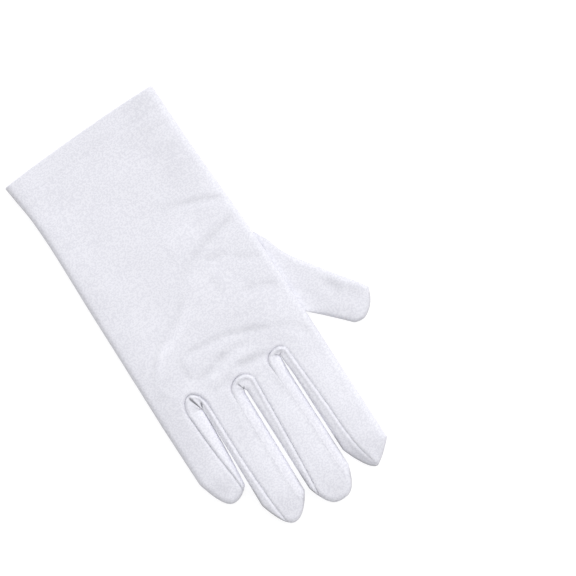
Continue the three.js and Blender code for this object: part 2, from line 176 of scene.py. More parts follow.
def along_table(places, values, at):
    """A smooth curve through a table's values: a cubic between each two, with their neighbours' slope."""
    places, values, at = (np.asarray(part, float) for part in (places, values, at))
    slopes = np.empty_like(values)
    slopes[1:-1] = (values[2:] - values[:-2]) / (places[2:] - places[:-2])
    slopes[[0, -1]] = (values[[1, -1]] - values[[0, -2]]) / (places[[1, -1]] - places[[0, -2]])
    k = np.clip(np.searchsorted(places, at), 1, len(places) - 1)
    span = places[k] - places[k - 1]
    t = np.clip((at - places[k - 1]) / span, 0, 1)
    bend = span * t * (1 - t) * (slopes[k - 1] * (1 - t) - slopes[k] * t)
    return mix(values[k - 1], values[k], ease(t)) + bend


def cuff_line(x):
    """The cuff's edge: a slanted line that bows out in the middle."""
    return CUFF_SLANT * x / HAND_WIDTH - CUFF_BOW * (1 - np.clip(abs(2 * x) / HAND_WIDTH, 0, 1) ** 2)


def crotch_end(k):
    """Height of the gap's end beside finger k, and the crotch line at the hand's two sides."""
    return PALM_LENGTH + (FOURCHETTES[k]["rise"] * CROTCH_UNIT if 0 <= k < len(FOURCHETTES) else 0)


def finger_start(k):
    """Left edge of finger k: the widths and gaps before it, from the hand's left edge."""
    widths = [finger["width"] * HAND_WIDTH for finger in FINGERS]
    gaps = [strip["gap"] * CROTCH_UNIT for strip in FOURCHETTES]
    spare = HAND_WIDTH - sum(widths) - sum(gaps)
    return (spare - HAND_WIDTH) / 2 + sum(widths[:k]) + sum(gaps[:k])


def finger_point(k, share, t):
    """Point of finger k at a share across and a share t along, from the root line to the tip line."""
    share, t = np.broadcast_arrays(np.asarray(share, float), np.asarray(t, float))
    finger, width = FINGERS[k], FINGERS[k]["width"] * HAND_WIDTH
    drift = finger["lean"] * width * t
    left = finger_start(k) + drift + finger["pinch"] * width * t**2
    right = finger_start(k) + width + drift
    apex = finger["apex"]
    near = np.clip((apex - share) / apex, 0, None) ** finger["thumb_power"]
    far = np.clip((share - apex) / (1 - apex), 0, None) ** finger["little_power"]
    drop = width * (finger["thumb_drop"] * near + finger["little_drop"] * far)
    root = mix(crotch_end(k - 1), crotch_end(k), share)
    tip = PALM_LENGTH + finger["length"] * MIDDLE_LENGTH - drop
    return np.stack([mix(left, right, share), mix(root, tip, t)], -1)


def seam_share(k, side, t):
    """Where the cloth of the hand ends on finger k, as a share across: at a seam, or at its outer edge."""
    strip = k - 1 if side == "left" else k
    if not 0 <= strip < len(FOURCHETTES):
        return np.zeros_like(t) if side == "left" else np.ones_like(t)
    widths = FOURCHETTES[strip]["after" if side == "left" else "before"]
    wide = along_table(STRIP_WIDTHS_AT, widths, t)
    return wide if side == "left" else 1 - wide


def seam_point(k, side, t):
    """Point of a seam on finger k."""
    return finger_point(k, seam_share(k, side, np.asarray(t, float)), t)


def bend_point(k, turn):
    """The seam's round end below the gap, from one finger's seam at turn 0 to the next one's at turn 1."""
    start, end = seam_point(k, "right", 0.0), seam_point(k + 1, "left", 0.0)
    angle = np.pi * np.asarray(turn, float)
    point = mix(start, end, (0.5 - 0.5 * np.cos(angle))[..., None])
    point[..., 1] -= FOURCHETTES[k]["bend"] * CROTCH_UNIT * np.sin(angle)
    return point


print("finger starts:", [round(finger_start(k), 2) for k in range(4)])

# %% Outline of the hand
SIDE_POINTS, TIP_POINTS, FINGER_POINTS = 180, 60, 12  # points along the palm's side, a tip and a finger's side
POINTS_AT_ONCE = 4096  # nearest_on works in parts, because all points by all steps would take much memory


def hand_edge(side, share):
    """Side edge of the hand at a share of the palm's length."""
    half = HAND_WIDTH / 2 * along_table(SIDE_EDGES["at"], SIDE_EDGES[side], share)
    return -half if side == "thumb" else half


def side_line(side):
    """Points of the hand's side edge, from the cuff to the crotch line."""
    share = np.linspace(0, 1, SIDE_POINTS)
    x = hand_edge(side, share)
    return np.stack([x, mix(cuff_line(x), PALM_LENGTH, share)], -1)


def tip_line(k, start=0, end=1):
    """Points around the tip of finger k, between two shares across it."""
    return finger_point(k, np.linspace(start, end, TIP_POINTS), 1)


def outline_points():
    """A walk along the outline: up one side, around each finger, and down the other side."""
    t = np.linspace(0, 1, FINGER_POINTS)
    walk = [side_line("thumb")]
    for k in range(len(FINGERS)):
        walk += [finger_point(k, 0, t), tip_line(k), finger_point(k, 1, t[::-1])]
    return np.concatenate(walk + [side_line("little")[::-1]])


def nearest_on(line, points):
    """Signed distance of each point from a broken line, more than 0 on its left, and the place along it."""
    start, step = line[:-1], np.diff(line, axis=0)
    squared = np.maximum((step**2).sum(-1), 1e-12)
    length = lengths_along(line)
    flat = points.reshape(-1, 2)
    distance, place = np.empty(len(flat)), np.empty(len(flat))
    for first in range(0, len(flat), POINTS_AT_ONCE):
        part = slice(first, first + POINTS_AT_ONCE)
        away = flat[part, None] - start
        t = np.clip((away * step).sum(-1) / squared, 0, 1)
        gaps = ((away - t[..., None] * step) ** 2).sum(-1)
        best = gaps.argmin(-1)
        rows = np.arange(len(best))
        near = away[rows, best]
        left = step[best, 0] * near[:, 1] - step[best, 1] * near[:, 0]
        distance[part] = np.sqrt(gaps[rows, best]) * np.where(left < 0, -1, 1)
        place[part] = length[best] + t[rows, best] * np.sqrt(squared[best])
    return distance.reshape(points.shape[:-1]), place.reshape(points.shape[:-1])


OUTLINE = outline_points()
print("outline points:", len(OUTLINE), "from", OUTLINE.min(0).round(1), "to", OUTLINE.max(0).round(1))

# %% [markdown]
# ## The thumb's place
#
# The thumb lies under the palm and sticks out at the side, so it lifts the palm off the surface. Its plan
# has a frame of its own, along its middle line and across it, and the cloth above it follows.

# %% Plan of the thumb
THUMB_LENGTH, THUMB_SHOWN, THUMB_WIDTH = 100.2, 48.2, 24.0
THUMB_TUCKED, THUMB_BASE_HEIGHT = 4.0, 3.6  # heights where it lies under the palm
THUMB_SPLAY = np.radians(37)
THUMB_START = THUMB_SHOWN - THUMB_LENGTH
BULGE, LIFT_REACH = 0.6, 27.0
ALONG = np.array([-np.sin(THUMB_SPLAY), np.cos(THUMB_SPLAY)])
ACROSS = np.array([np.cos(THUMB_SPLAY), np.sin(THUMB_SPLAY)])
THUMB_CROSSING = np.array([-HAND_WIDTH / 2, 0.767 * PALM_LENGTH])
THUMB_EDGES = dict(at=(0, 0.12, 0.32, 0.4, 0.49, 0.66, 0.78, 0.9, 1),
                   outer=(1.2, 1.34, 1.22, 1.03, 0.9, 0.86, 0.83, 0.84, 0.8),
                   inner=(1.15, 1.3, 1.38, 1.36, 1.32, 1.18, 1.05, 0.94, 0.86))


def thumb_edge(side, along):
    """Distance of the thumb's edge from its middle line."""
    at = (along - THUMB_START) / THUMB_LENGTH
    return THUMB_WIDTH / 2 * along_table(THUMB_EDGES["at"], THUMB_EDGES[side], at)


def lift_at(points):
    """How far the thumb lifts the palm: its height over the thumb, easing to nothing beside it."""
    away = points - THUMB_CROSSING
    along, across = away @ ALONG, away @ ACROSS
    inside = np.maximum(along, THUMB_START)
    beside = np.maximum(across - thumb_edge("inner", inside), -across - thumb_edge("outer", inside))
    behind = np.maximum(THUMB_START - along, 0)
    tucked = mix(THUMB_BASE_HEIGHT, THUMB_TUCKED, np.clip((along - THUMB_START) / THUMB_WIDTH, 0, 1))
    reach = np.hypot(np.maximum(beside, 0), behind) / LIFT_REACH
    return (tucked + SEAM_GAP) * (1 - ease(reach))


print("lift over the thumb:", lift_at(THUMB_CROSSING).round(2))

# %% [markdown]
# ## The relief of the cloth
#
# An empty glove is never quite flat. The back of the hand has creases where it was folded, a slack wave
# here and there, and the seams pull small puckers. A cloth simulation could make such folds, but it would
# put them where it likes. Here each crease is a soft valley or ridge along a line, so that it lies where
# the real one does, and sums of slow waves give the slack.

# %% Folds and slack
# The shade column is painted shade in the cloth's colour along each line, and a painted highlight where it is
# below 0. The last eight rows are wide and hardly deep: they paint broad patches of light and shade.
FOLDS = [  # width, depth, lean, shade, shares that fade at the ends, points of the line
    (2.2, 0.32, -0.26, 0.045, (0.1, 0.7), [(-48, 69.5), (-42, 65.2), (-37, 62.7), (-31, 60.3), (-25, 58.2),
     (-18, 55.6), (-10, 53.5), (0, 51.5)]),
    (2.3, 0.36, -0.2, 0.05, (0.15, 0.42), [(-47, 76.3), (-38, 78), (-30, 79.8), (-22, 81.8), (-16, 83.5),
     (-10, 86.2), (-5, 89), (0, 92.3), (5, 98), (8, 102)]),
    (2, 0.2, 0.3, 0.035, (0.2, 0.2), [(-1, 97), (4, 101), (11, 106), (19, 110), (27, 114), (31, 118), (36, 123),
     (39, 128)]),
    (2.4, -0.36, 0.16, -0.05, (0.2, 0.2), [(2, 104.5), (10, 111), (17, 115), (27, 118), (33, 123), (38, 130),
     (39, 138)]),
    (3, 0.16, -0.1, 0.03, (0.2, 0.2), [(-46, 153), (-42, 145), (-35, 138.5), (-27, 134.5)]),
    (2.1, 0.34, -0.24, 0.055, (0.08, 0.3), [(-29, 136), (-24, 134), (-20, 132), (-15, 129.8), (-8, 127),
     (0, 125.5), (8, 124.5), (16, 124), (24, 123.5)]),
    (2.4, 0.3, -0.2, 0.042, (0.5, 0.2), [(-27, 138), (-20, 136.5), (-12, 135), (-5, 134.6), (2, 135),
     (8, 137.5), (16, 138.5), (24, 138.5)]),
    (2.2, 0.3, -0.2, 0.045, (0.2, 0.2), [(-2, 134.6), (2, 135), (6, 136.5)]),
    (2.4, 0.5, -0.25, 0.09, (0.2, 0.2), [(-21, 146.4), (-15, 145.3), (-8, 144.2), (-1, 143.5)]),
    (2, 0.3, -0.15, 0.045, (0.2, 0.2), [(2, 146), (9, 148), (17, 148)]),
    (1.8, -0.24, 0, -0.025, (0.2, 0.2), [(-14, 141), (-4, 140.5), (6, 142.5), (18, 143)]),
    (1.8, -0.16, 0, -0.015, (0.2, 0.2), [(-28, 129.5), (-18, 126), (-6, 129.5)]),
    (2.3, 0.3, 0.16, 0.065, (0.2, 0.2), [(22.5, 138), (22.6, 131), (23, 122.5)]),
    (1.8, 0.14, -0.1, 0.03, (0.2, 0.2), [(35, 137.5), (39, 137), (45, 136.5)]),
    (2.1, 0.22, -0.12, 0.04, (0.2, 0.2), [(-44, 119.5), (-38, 116), (-31, 113), (-24, 113.5)]),
    (2.2, 0.22, -0.12, 0.035, (0.2, 0.2), [(-45.5, 102.8), (-39, 100), (-34, 96.8), (-30, 93.5)]),
    (1.9, 0.22, -0.12, 0.045, (0.2, 0.2), [(-30, 91), (-24, 90.5), (-17, 88)]),
    (1.8, 0.16, 0.1, 0.035, (0.2, 0.2), [(-15.5, 110), (-14.5, 104), (-14, 97)]),
    (2, 0.12, 0.05, 0.02, (0.2, 0.2), [(-43, 51), (-42, 45), (-36, 40)]),
    (1.6, 0.12, 0.05, 0.03, (0.2, 0.2), [(-45, 20), (-36, 17.4), (-28, 16.5), (-20, 15.2), (-10, 12)]),
    (1.4, 0.1, 0.05, 0.03, (0.2, 0.2), [(28, 17), (38, 16.3), (47, 16)]),
    (1.3, 0.08, 0.04, 0.022, (0.2, 0.2), [(-18, 7.8), (0, 7), (22, 7.4)]),
    (1.5, 0.06, 0.03, 0.025, (0.2, 0.2), [(-45, 2.5), (-36, 3.8), (-27, 4.2)]),
    (1.9, 0.14, 0.1, 0.03, (0.2, 0.2), [(-15, 150), (-15, 160), (-13.5, 172)]),
    (2.4, 0.14, 0.1, 0.028, (0.2, 0.2), [(12, 150), (12, 163), (13, 178)]),
    (3.4, 0.1, 0, 0.022, (0.2, 0.2), [(-19, 224), (-13, 225.5), (-6, 224)]),
    (3.4, 0.1, 0, 0.025, (0.2, 0.2), [(10, 219), (15, 222), (21, 219)]),
    (5, 0.12, 0, 0.05, (0.2, 0.2), [(35, 197), (40, 194), (44, 188)]),
    (13, -0.15, 0, -0.014, (0.2, 0.2), [(-28, 100), (-10, 106), (8, 118)]),
    (11, 0.05, 0, 0.035, (0.2, 0.2), [(-38, -14), (-30, 20), (-33, 66)]),
    (8, -0.05, 0, -0.035, (0.2, 0.2), [(-38, 118), (-37, 150), (-38, 200)]),
    (8, -0.05, 0, -0.03, (0.2, 0.2), [(38, -10), (38, 30), (38, 70)]),
    (8, 0.05, 0, 0.045, (0.2, 0.2), [(36, 115), (40, 150), (40, 190)]),
    (9, -0.05, 0, -0.035, (0.2, 0.2), [(-24, 71), (-4, 73)]),
    (7, -0.05, 0, -0.025, (0.2, 0.2), [(-22, 97), (-2, 96)]),
    (7, 0, 0, -0.03, (0.2, 0.2), [(-12, 155), (-11, 215)]),
]


def folds_at(points):
    """A bell curve across each line for its valley or ridge, the slope of a bell curve for the step across it,
    and a bell curve of painted shade, a painted highlight where shade is below 0. All fade at the ends."""
    relief, grey = np.zeros(points.shape[:-1]), np.zeros(points.shape[:-1])
    for wide, deep, lean, shade, (first, last), line in FOLDS:
        line = np.array(line, float)
        length = lengths_along(line)[-1]
        side, place = nearest_on(line, points)
        fade = ease(place / (first * length)) * ease((length - place) / (last * length))
        uneven = 1 + 0.25 * np.sin(place / 2.9 + 7 * line[0, 0]) * np.sin(place / 5.3)
        fold_and_painted_shade = fade * uneven * bell(side, 0, wide)
        relief += (lean * 1.6 * side / wide - deep) * fold_and_painted_shade
        grey += shade * fold_and_painted_shade
    return relief, grey


def slack_at(points, seed, waves, lengths, height):
    """A sum of waves with different directions, lengths and phases, as uneven as cloth that lies loose."""
    rng = np.random.default_rng(seed)
    angle, phase = rng.uniform(0, np.pi, waves), rng.uniform(0, 2 * np.pi, waves)
    number = 2 * np.pi / rng.uniform(*lengths, waves)
    steps = np.stack([np.cos(angle), np.sin(angle)]) * number
    return height * np.sin(points @ steps + phase).sum(-1) / np.sqrt(waves)


print("folds:", len(FOLDS), "deepest:", max(deep for _, deep, *_ in FOLDS), "mm")

# %% [markdown]
# A seam on such a glove is sewn inside out and turned, so its thread doesn't show. What shows is a narrow
# groove with a soft roll of cloth on either side and small puckers across it, and painted shade darkens the
# groove. The outer seams, at the little finger's side and around the fingertips, lie right on the outline,
# on the sides away from the light, where a thin band of painted shade darkens them.

# %% Seams
SEAM_DEEP, SEAM_WIDE = 0.5, 0.5
ROLL_HIGH, ROLL_AT, ROLL_WIDE = 0.16, 1.7, 1.0
PUCKER_PITCH, PUCKER_HIGH, PUCKER_REACH = 3.4, 0.06, 2.4
# painted shade in a seam's groove; where drawn is below 0 it becomes a painted highlight
SEAM_PAINTED_SHADE = 0.09
DRAWN_AT = (0, 0.38, 0.47, 0.53, 0.62, 1)  # shares along a seam that the values named drawn belong to


def seam_line(k, steps=90):
    """The whole seam of fourchette k: down one finger, around the bend and up the next finger."""
    t = np.linspace(0, 1, steps)
    turn = np.linspace(0, 1, 30)[1:-1]
    return np.concatenate([seam_point(k, "right", t[::-1]), bend_point(k, turn), seam_point(k + 1, "left", t)])


SEAM_LINES = [seam_line(k) for k in range(len(FOURCHETTES))]


def seam_relief(k, distance, place):
    """A groove at seam k, a low roll beside it, puckers across it that fade within a few millimetres, and
    painted shade in the groove, which is a painted highlight where drawn is below 0.
    """
    at = place / lengths_along(SEAM_LINES[k])[-1]
    drawn = np.interp(at, DRAWN_AT, FOURCHETTES[k]["drawn"])
    groove = bell(distance, 0, SEAM_WIDE)
    roll = ROLL_HIGH * bell(distance, ROLL_AT, ROLL_WIDE)
    uneven = 0.6 + 0.4 * np.sin(place / 7.3 + 1.1) * np.sin(place / 3.1)
    wave = np.cos(2 * np.pi * place / PUCKER_PITCH + 0.8 * np.sin(place / 4.7))
    pucker = PUCKER_HIGH * uneven * wave * np.exp(-distance / PUCKER_REACH)
    return drawn * (roll - SEAM_DEEP * groove) + pucker, SEAM_PAINTED_SHADE * drawn * groove


def seams_at(points):
    """The relief and the grey of all seams, each close to its own line."""
    relief, grey = np.zeros(points.shape[:-1]), np.zeros(points.shape[:-1])
    for k, line in enumerate(SEAM_LINES):
        distance, place = nearest_on(line, points)
        high, dark = seam_relief(k, abs(distance), place)
        relief, grey = relief + high, grey + dark
    return relief, grey


# Painted shade along the outer seam, on the sides away from the light: its strength, its width, and how far up
# the roll it reaches.
PAINTED_EDGE_SHADE, EDGE_WIDE, EDGE_RISE = 0.52, 0.85, 0.5
EDGE_FADE = 5.0  # length over which the outer seam's grey fades at its ends
TIP_TAIL = 0.8  # share along a finger down to which the seam around its tip shows on its far side


def outer_seam(k):
    """The seam around the tip of finger k and some way down its far side. The little finger's goes on along
    the side of the hand and ends beyond the cuff, so that it doesn't fade there."""
    if k < len(FINGERS) - 1:
        return np.concatenate([tip_line(k), finger_point(k, 1, np.linspace(1, TIP_TAIL, 8)[1:])])
    finger = finger_point(k, 1, np.linspace(1, 0, FINGER_POINTS)[1:])
    side = side_line("little")[::-1]
    return np.concatenate([tip_line(k), finger, side[1:], side[-1:] - (0, EDGE_FADE)])


OUTER_SEAMS = [outer_seam(k) for k in range(len(FINGERS))]


def painted_seam_shade(line, points, rise):
    """Painted shade along a sewn edge: a soft grey band along a line, which fades in and out at its ends.
    rise is how far the cloth has risen from the outline's height, from 0 to 1."""
    distance, place = nearest_on(line, points)
    fade = ease(np.minimum(place, lengths_along(line)[-1] - place) / EDGE_FADE)
    return PAINTED_EDGE_SHADE * fade * bell(distance, 0, EDGE_WIDE) * bell(rise, 0, EDGE_RISE)


def painted_edge_shade(points, rise):
    """Painted shade along the outer seam, at the little finger's side and around the fingertips, which
    face away from the light.
    """
    return np.max([painted_seam_shade(line, points, rise) for line in OUTER_SEAMS], axis=0)


print("seam lengths:", [round(lengths_along(line)[-1]) for line in SEAM_LINES], "mm")

# %% [markdown]
# The hem is a second layer of cloth inside the cuff. From outside it shows as a slightly thicker band, and
# each blind stitch that holds it pulls a dimple.

# %% Hem
HEM_RISE = 0.16
STITCH_PITCH = 4.0
STITCH_LINE = 10.4  # distance of the stitches from the cuff's edge
DIMPLE_DEEP, DIMPLE_WIDE, DIMPLE_LONG = 0.16, 0.95, 0.9


def hem_at(points):
    """A band that is raised up to the hem's end, with a dimple at every stitch."""
    depth = points[..., 1] - cuff_line(points[..., 0])
    band = HEM_RISE * (1 - ease((depth - HEM_DEPTH + 1.2) / 1.6))
    step = (points[..., 0] / STITCH_PITCH + 0.5) % 1 - 0.5
    dimple = bell(step * STITCH_PITCH, 0, DIMPLE_WIDE) * bell(depth, STITCH_LINE, DIMPLE_LONG)
    return band - DIMPLE_DEEP * dimple


print("stitches across the cuff:", int(HAND_WIDTH / STITCH_PITCH))

# %% [markdown]
# ## The surface of the hand
#
# The cloth is folded or sewn over at every edge. Its height above the edge grows like a squarish quarter
# circle with the distance from the outline, then rises a little more to a low crown in the middle. One
# function gives the top and the underside, so the two meet exactly at the outline. Towards the fingertips
# the empty glove gets thinner.

# %% Heights
TOP_ROLL, UNDER_ROLL = 3.3, 3.0
CROWN, CROWN_REACH = 0.16, 16.0
AT_EDGE = 0.0175  # points as near as this to the broken line of the outline lie on it
TIP_DROOP, DROOP_REACH = 0.17, 21.0
FINGERS_FROM, FINGERS_OVER = 0.85 * PALM_LENGTH, 0.3 * PALM_LENGTH  # where the hand's height becomes theirs
TOP_SLACK = dict(seed=5, waves=9, lengths=(17, 60), height=0.13)
PALM_SLACK = dict(seed=8, waves=9, lengths=(20, 60), height=0.06)
FINGER_TIPS = np.array([finger_point(k, finger["apex"], 1.0) for k, finger in enumerate(FINGERS)])


def rounded(distance, reach, square=2.7):
    """Quarter of a squarish circle: 0 at the edge, 1 from the roll's reach inwards."""
    return (1 - (1 - np.clip(distance / reach, 0, 1)) ** square) ** (1 / square)


def crowned(distance, reach):
    """A squarish quarter circle, and a slow rise on top of it."""
    slow = 1 - (1 - np.clip(distance / CROWN_REACH, 0, 1)) ** 2
    return mix(rounded(distance, reach), slow, CROWN)


def hand_levels(points, inset=0.0):
    """Heights of the hand's top, underside and outline, and how far each side has risen from the outline,
    from 0 to 1. inset is how far inside the outer cloth the surface lies."""
    walked = np.stack([points[..., 0], np.maximum(points[..., 1], cuff_line(points[..., 0]))], -1)
    distance = np.maximum(abs(nearest_on(OUTLINE, walked)[0]) - inset - AT_EDGE, 0)
    lift = lift_at(points)
    slope = ease((points[..., 1] - FINGERS_FROM) / FINGERS_OVER)
    height = mix(HAND_HEIGHT, FINGER_HEIGHT, slope) + BULGE * lift / (THUMB_TUCKED + SEAM_GAP) - lift
    from_tip = np.linalg.norm(points[..., None, :] - FINGER_TIPS, axis=-1).min(-1)
    height = height * (1 - TIP_DROOP * (1 - ease(from_tip / DROOP_REACH)))
    edge = lift + EDGE_LEVEL * height
    over, under = crowned(distance, TOP_ROLL - inset), rounded(distance, UNDER_ROLL - inset)
    top = edge + ((1 - EDGE_LEVEL) * height - inset) * over
    bottom = edge - (EDGE_LEVEL * height - inset) * under
    return dict(top=top, bottom=bottom, edge=edge, over=over, under=under)


def hand_top(points, inset=0.0, detail=True):
    """The back of the hand with its relief, which fades out at the outline, and its painted shade."""
    level = hand_levels(points, inset)
    relief, grey = folds_at(points)
    relief = relief + slack_at(points, **TOP_SLACK) + hem_at(points)
    if detail:
        high, dark = seams_at(points)
        relief, grey = relief + high, grey + dark
    over = level["over"]
    return level["top"] + relief * ease(over), grey * ease(over) + painted_edge_shade(points, over)


def hand_bottom(points, inset=0.0, detail=True):
    """The palm: flat on the surface, raised over the thumb, with grooves at its seams, and its painted shade."""
    level = hand_levels(points, inset)
    relief = slack_at(points, **PALM_SLACK) * np.clip(level["bottom"] / 2, 0, 1)
    grey = np.zeros_like(relief)
    if detail:
        high, grey = seams_at(points)
        relief = relief - np.minimum(high, 0)
    bottom = np.maximum(level["bottom"] + relief * ease(level["under"]), 0)
    return bottom, grey * ease(level["under"]) + painted_edge_shade(points, level["under"])


print("top at the middle of the palm:", hand_top(np.array([[20.0, 60.0]]))[0].round(2))

# %% [markdown]
# ## Grids of cloth
#
# Each piece is one or more patches: arrays with rows along the cloth and columns across it. Points lie
# closer together near seams and edges, where the cloth bends most. A small helper turns the patches into
# a mesh, joins them where they meet, writes a UV map in metres of cloth, and gives the cloth its thickness.

# %% Helpers for patches
METRE = 0.001  # a millimetre in metres
JOINED = 2e-6  # points of a piece as near as this, in metres, are one


def steps_in(length, first, last, pitch):
    """Places from 0 to length: given distances from both ends, and even steps between."""
    first, last = np.asarray(first, float), np.asarray(last, float)
    middle = length - first[-1] - last[-1]
    even = first[-1] + np.linspace(0, middle, max(int(round(middle / pitch)), 1) + 1)[1:-1]
    return np.concatenate([first, even, (length - last)[::-1]])


def from_middle(steps):
    """Sums of each row's steps, counted from the row's middle."""
    u = np.concatenate([np.zeros((len(steps), 1)), np.cumsum(steps, axis=1)], axis=1)
    return u - u[:, [u.shape[1] // 2]]


def cloth_uv(patch):
    """UV in metres: the length of cloth across each row, and the place along the middle column."""
    u = from_middle(np.linalg.norm(np.diff(patch, axis=1), axis=-1))
    v = lengths_along(patch[:, patch.shape[1] // 2])
    return np.stack([u, np.broadcast_to(v[:, None], u.shape)], -1) * METRE


def straight_uv(patch):
    """UV in metres for cloth whose wales run along the hand: the length across without the shift along."""
    u = from_middle(np.hypot(np.diff(patch[..., 0], axis=1), np.diff(patch[..., 2], axis=1)))
    return np.stack([u + patch[:, [patch.shape[1] // 2], 0], patch[..., 1]], -1) * METRE


def quads_of(rows, columns, flipped):
    """Corner numbers of the faces of a grid, with row-by-row numbering."""
    index = np.arange(rows * columns).reshape(rows, columns)
    corners = [index[:-1, :-1], index[:-1, 1:], index[1:, 1:], index[1:, :-1]]
    return np.stack(corners[::-1] if flipped else corners, -1).reshape(-1, 4)


FAR_CORNER = np.array(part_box("hand_body")[1]) / METRE
MODEL_SHIFT = np.array([FAR_CORNER[0] - HAND_WIDTH / 2 * SIDE_EDGES["little"][0],
                        FAR_CORNER[1] - PALM_LENGTH - MIDDLE_LENGTH, 0])


def raised(plan, height):
    """A patch in space from a plan and its heights."""
    return np.concatenate([plan, height[..., None]], -1)


def make_mesh(name, patches, keep=None):
    """A mesh from patches of points, grey, UV and a flag that turns the faces round, joined where they meet.
    keep says which faces stay, from their middles and the flag."""
    points, greys, faces, uvs, first = [], [], [], [], 0
    for patch, grey, uv, flipped in patches:
        quads = quads_of(*patch.shape[:2], flipped)
        flat = patch.reshape(-1, 3)
        if keep is not None:
            quads = quads[keep(flat[quads].mean(1), flipped)]
        points.append(flat)
        greys.append(np.broadcast_to(grey, patch.shape[:2]).ravel())
        faces.append(quads + first)
        uvs.append(uv.reshape(-1, 2)[quads].reshape(-1, 2))
        first += len(flat)
    points = (np.concatenate(points) + MODEL_SHIFT) * METRE
    mesh = bpy.data.meshes.new(name)
    mesh.from_pydata(points.tolist(), [], np.concatenate(faces).tolist())
    layer = mesh.uv_layers.new(name="cloth")
    layer.data.foreach_set("uv", np.concatenate(uvs).astype(np.float32).ravel())
    # The greys are painted shade, and painted highlights where below 0, kept as a point attribute for the
    # material.
    fold_and_painted_shade = mesh.attributes.new("fold_and_painted_shade", "FLOAT", "POINT")
    fold_and_painted_shade.data.foreach_set("value", np.concatenate(greys).astype(np.float32))
    net = bmesh.new()
    net.from_mesh(mesh)
    bmesh.ops.remove_doubles(net, verts=net.verts, dist=JOINED)
    loose = [vert for vert in net.verts if not vert.link_faces]
    bmesh.ops.delete(net, geom=loose, context="VERTS")
    net.to_mesh(mesh)
    net.free()
    mesh.shade_smooth()
    return mesh


def add_piece(name, mesh, material, node=None, thickness=CLOTH):
    """An object for the mesh, with the cloth's thickness, riding on the glove and standing for its node."""
    piece = bpy.data.objects.new(name, mesh)
    bpy.context.scene.collection.objects.link(piece)
    mesh.materials.append(material)
    if thickness:
        wall = piece.modifiers.new("thickness", "SOLIDIFY")
        wall.thickness = thickness * METRE
        wall.offset = -1
    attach(piece, "root")
    if node:
        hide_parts(node)
    print(name, "faces:", len(mesh.polygons))


print("shift from the plan to the model:", MODEL_SHIFT.round(3))

# %% [markdown]
# ## The knit
#
# The cloth is a fine warp knit: columns of tiny loops, called wales, side by side. At arm's length it
# looks smooth and slightly satiny. An image texture would show the same loops everywhere, so the loops
# come from waves along the UV map, which is in metres of cloth. The same node group serves every piece,
# with its own depth and pitch. Other groups make the white slightly uneven, add painted shade and painted
# highlights to it from an attribute of each mesh and between the loops, and crinkle it.

# %% Node groups
VECTOR, NUMBER, COLOUR = "NodeSocketVector", "NodeSocketFloat", "NodeSocketColor"
LOOP_SHADE = 0.06  # how much darker the white is between the loops


def new_group(name, inputs, outputs):
    """A shader node group with named sockets, given as name, socket type and default value."""
    group = bpy.data.node_groups.new(name, "ShaderNodeTree")
    for label, kind, value in inputs:
        socket = group.interface.new_socket(label, in_out="INPUT", socket_type=kind)
        if value is not None:
            socket.default_value = value
    for label, kind in outputs:
        group.interface.new_socket(label, in_out="OUTPUT", socket_type=kind)
    return group, group.nodes.new("NodeGroupInput"), group.nodes.new("NodeGroupOutput")


def link(tree, start, end):
    """A link from an output socket to an input socket."""
    tree.links.new(start, end)


def calculate(tree, operation, *values):
    """A Math node with sockets or numbers as its inputs."""
    node = tree.nodes.new("ShaderNodeMath")
    node.operation = operation
    for socket, value in zip(node.inputs, values):
        if isinstance(value, (int, float)):
            socket.default_value = value
        else:
            link(tree, value, socket)
    return node.outputs[0]


def mix_colours(tree, factor, first, second, kind="MIX", clamp=True):
    """A Mix node for two colours, each a socket or a plain colour, by a factor."""
    node = tree.nodes.new("ShaderNodeMix")
    node.data_type, node.blend_type, node.clamp_factor = "RGBA", kind, clamp
    for number, value in ((0, factor), (6, first), (7, second)):  # the sockets that a mix of colours uses
        if isinstance(value, (float, tuple)):
            node.inputs[number].default_value = value
        else:
            link(tree, value, node.inputs[number])
    return node.outputs[2]


def make_loops():
    """Loops: a wave across the wales, times a wave along them that is bent into a V at each wale."""
    inputs = [("Vector", VECTOR, None), ("Pitch", NUMBER, 0.0007)]
    group, given, result = new_group("knit_loops", inputs, [("Height", NUMBER), ("Shade", NUMBER)])
    split = group.nodes.new("ShaderNodeSeparateXYZ")
    link(group, given.outputs["Vector"], split.inputs[0])
    wale = calculate(group, "DIVIDE", split.outputs[0], given.outputs["Pitch"])
    course = calculate(group, "DIVIDE", split.outputs[1], given.outputs["Pitch"])
    across = calculate(group, "ABSOLUTE", calculate(group, "SINE", calculate(group, "MULTIPLY", wale, np.pi)))
    bent = calculate(group, "MULTIPLY_ADD", across, 0.55, calculate(group, "MULTIPLY", course, 1.25))
    ripple = calculate(group, "SINE", calculate(group, "MULTIPLY", bent, 2 * np.pi))
    loop = calculate(group, "MULTIPLY_ADD", ripple, 0.3, calculate(group, "MULTIPLY", across, 0.7))
    link(group, loop, result.inputs["Height"])
    link(group, calculate(group, "MULTIPLY_ADD", loop, 0.6, 0.4), result.inputs["Shade"])
    return group


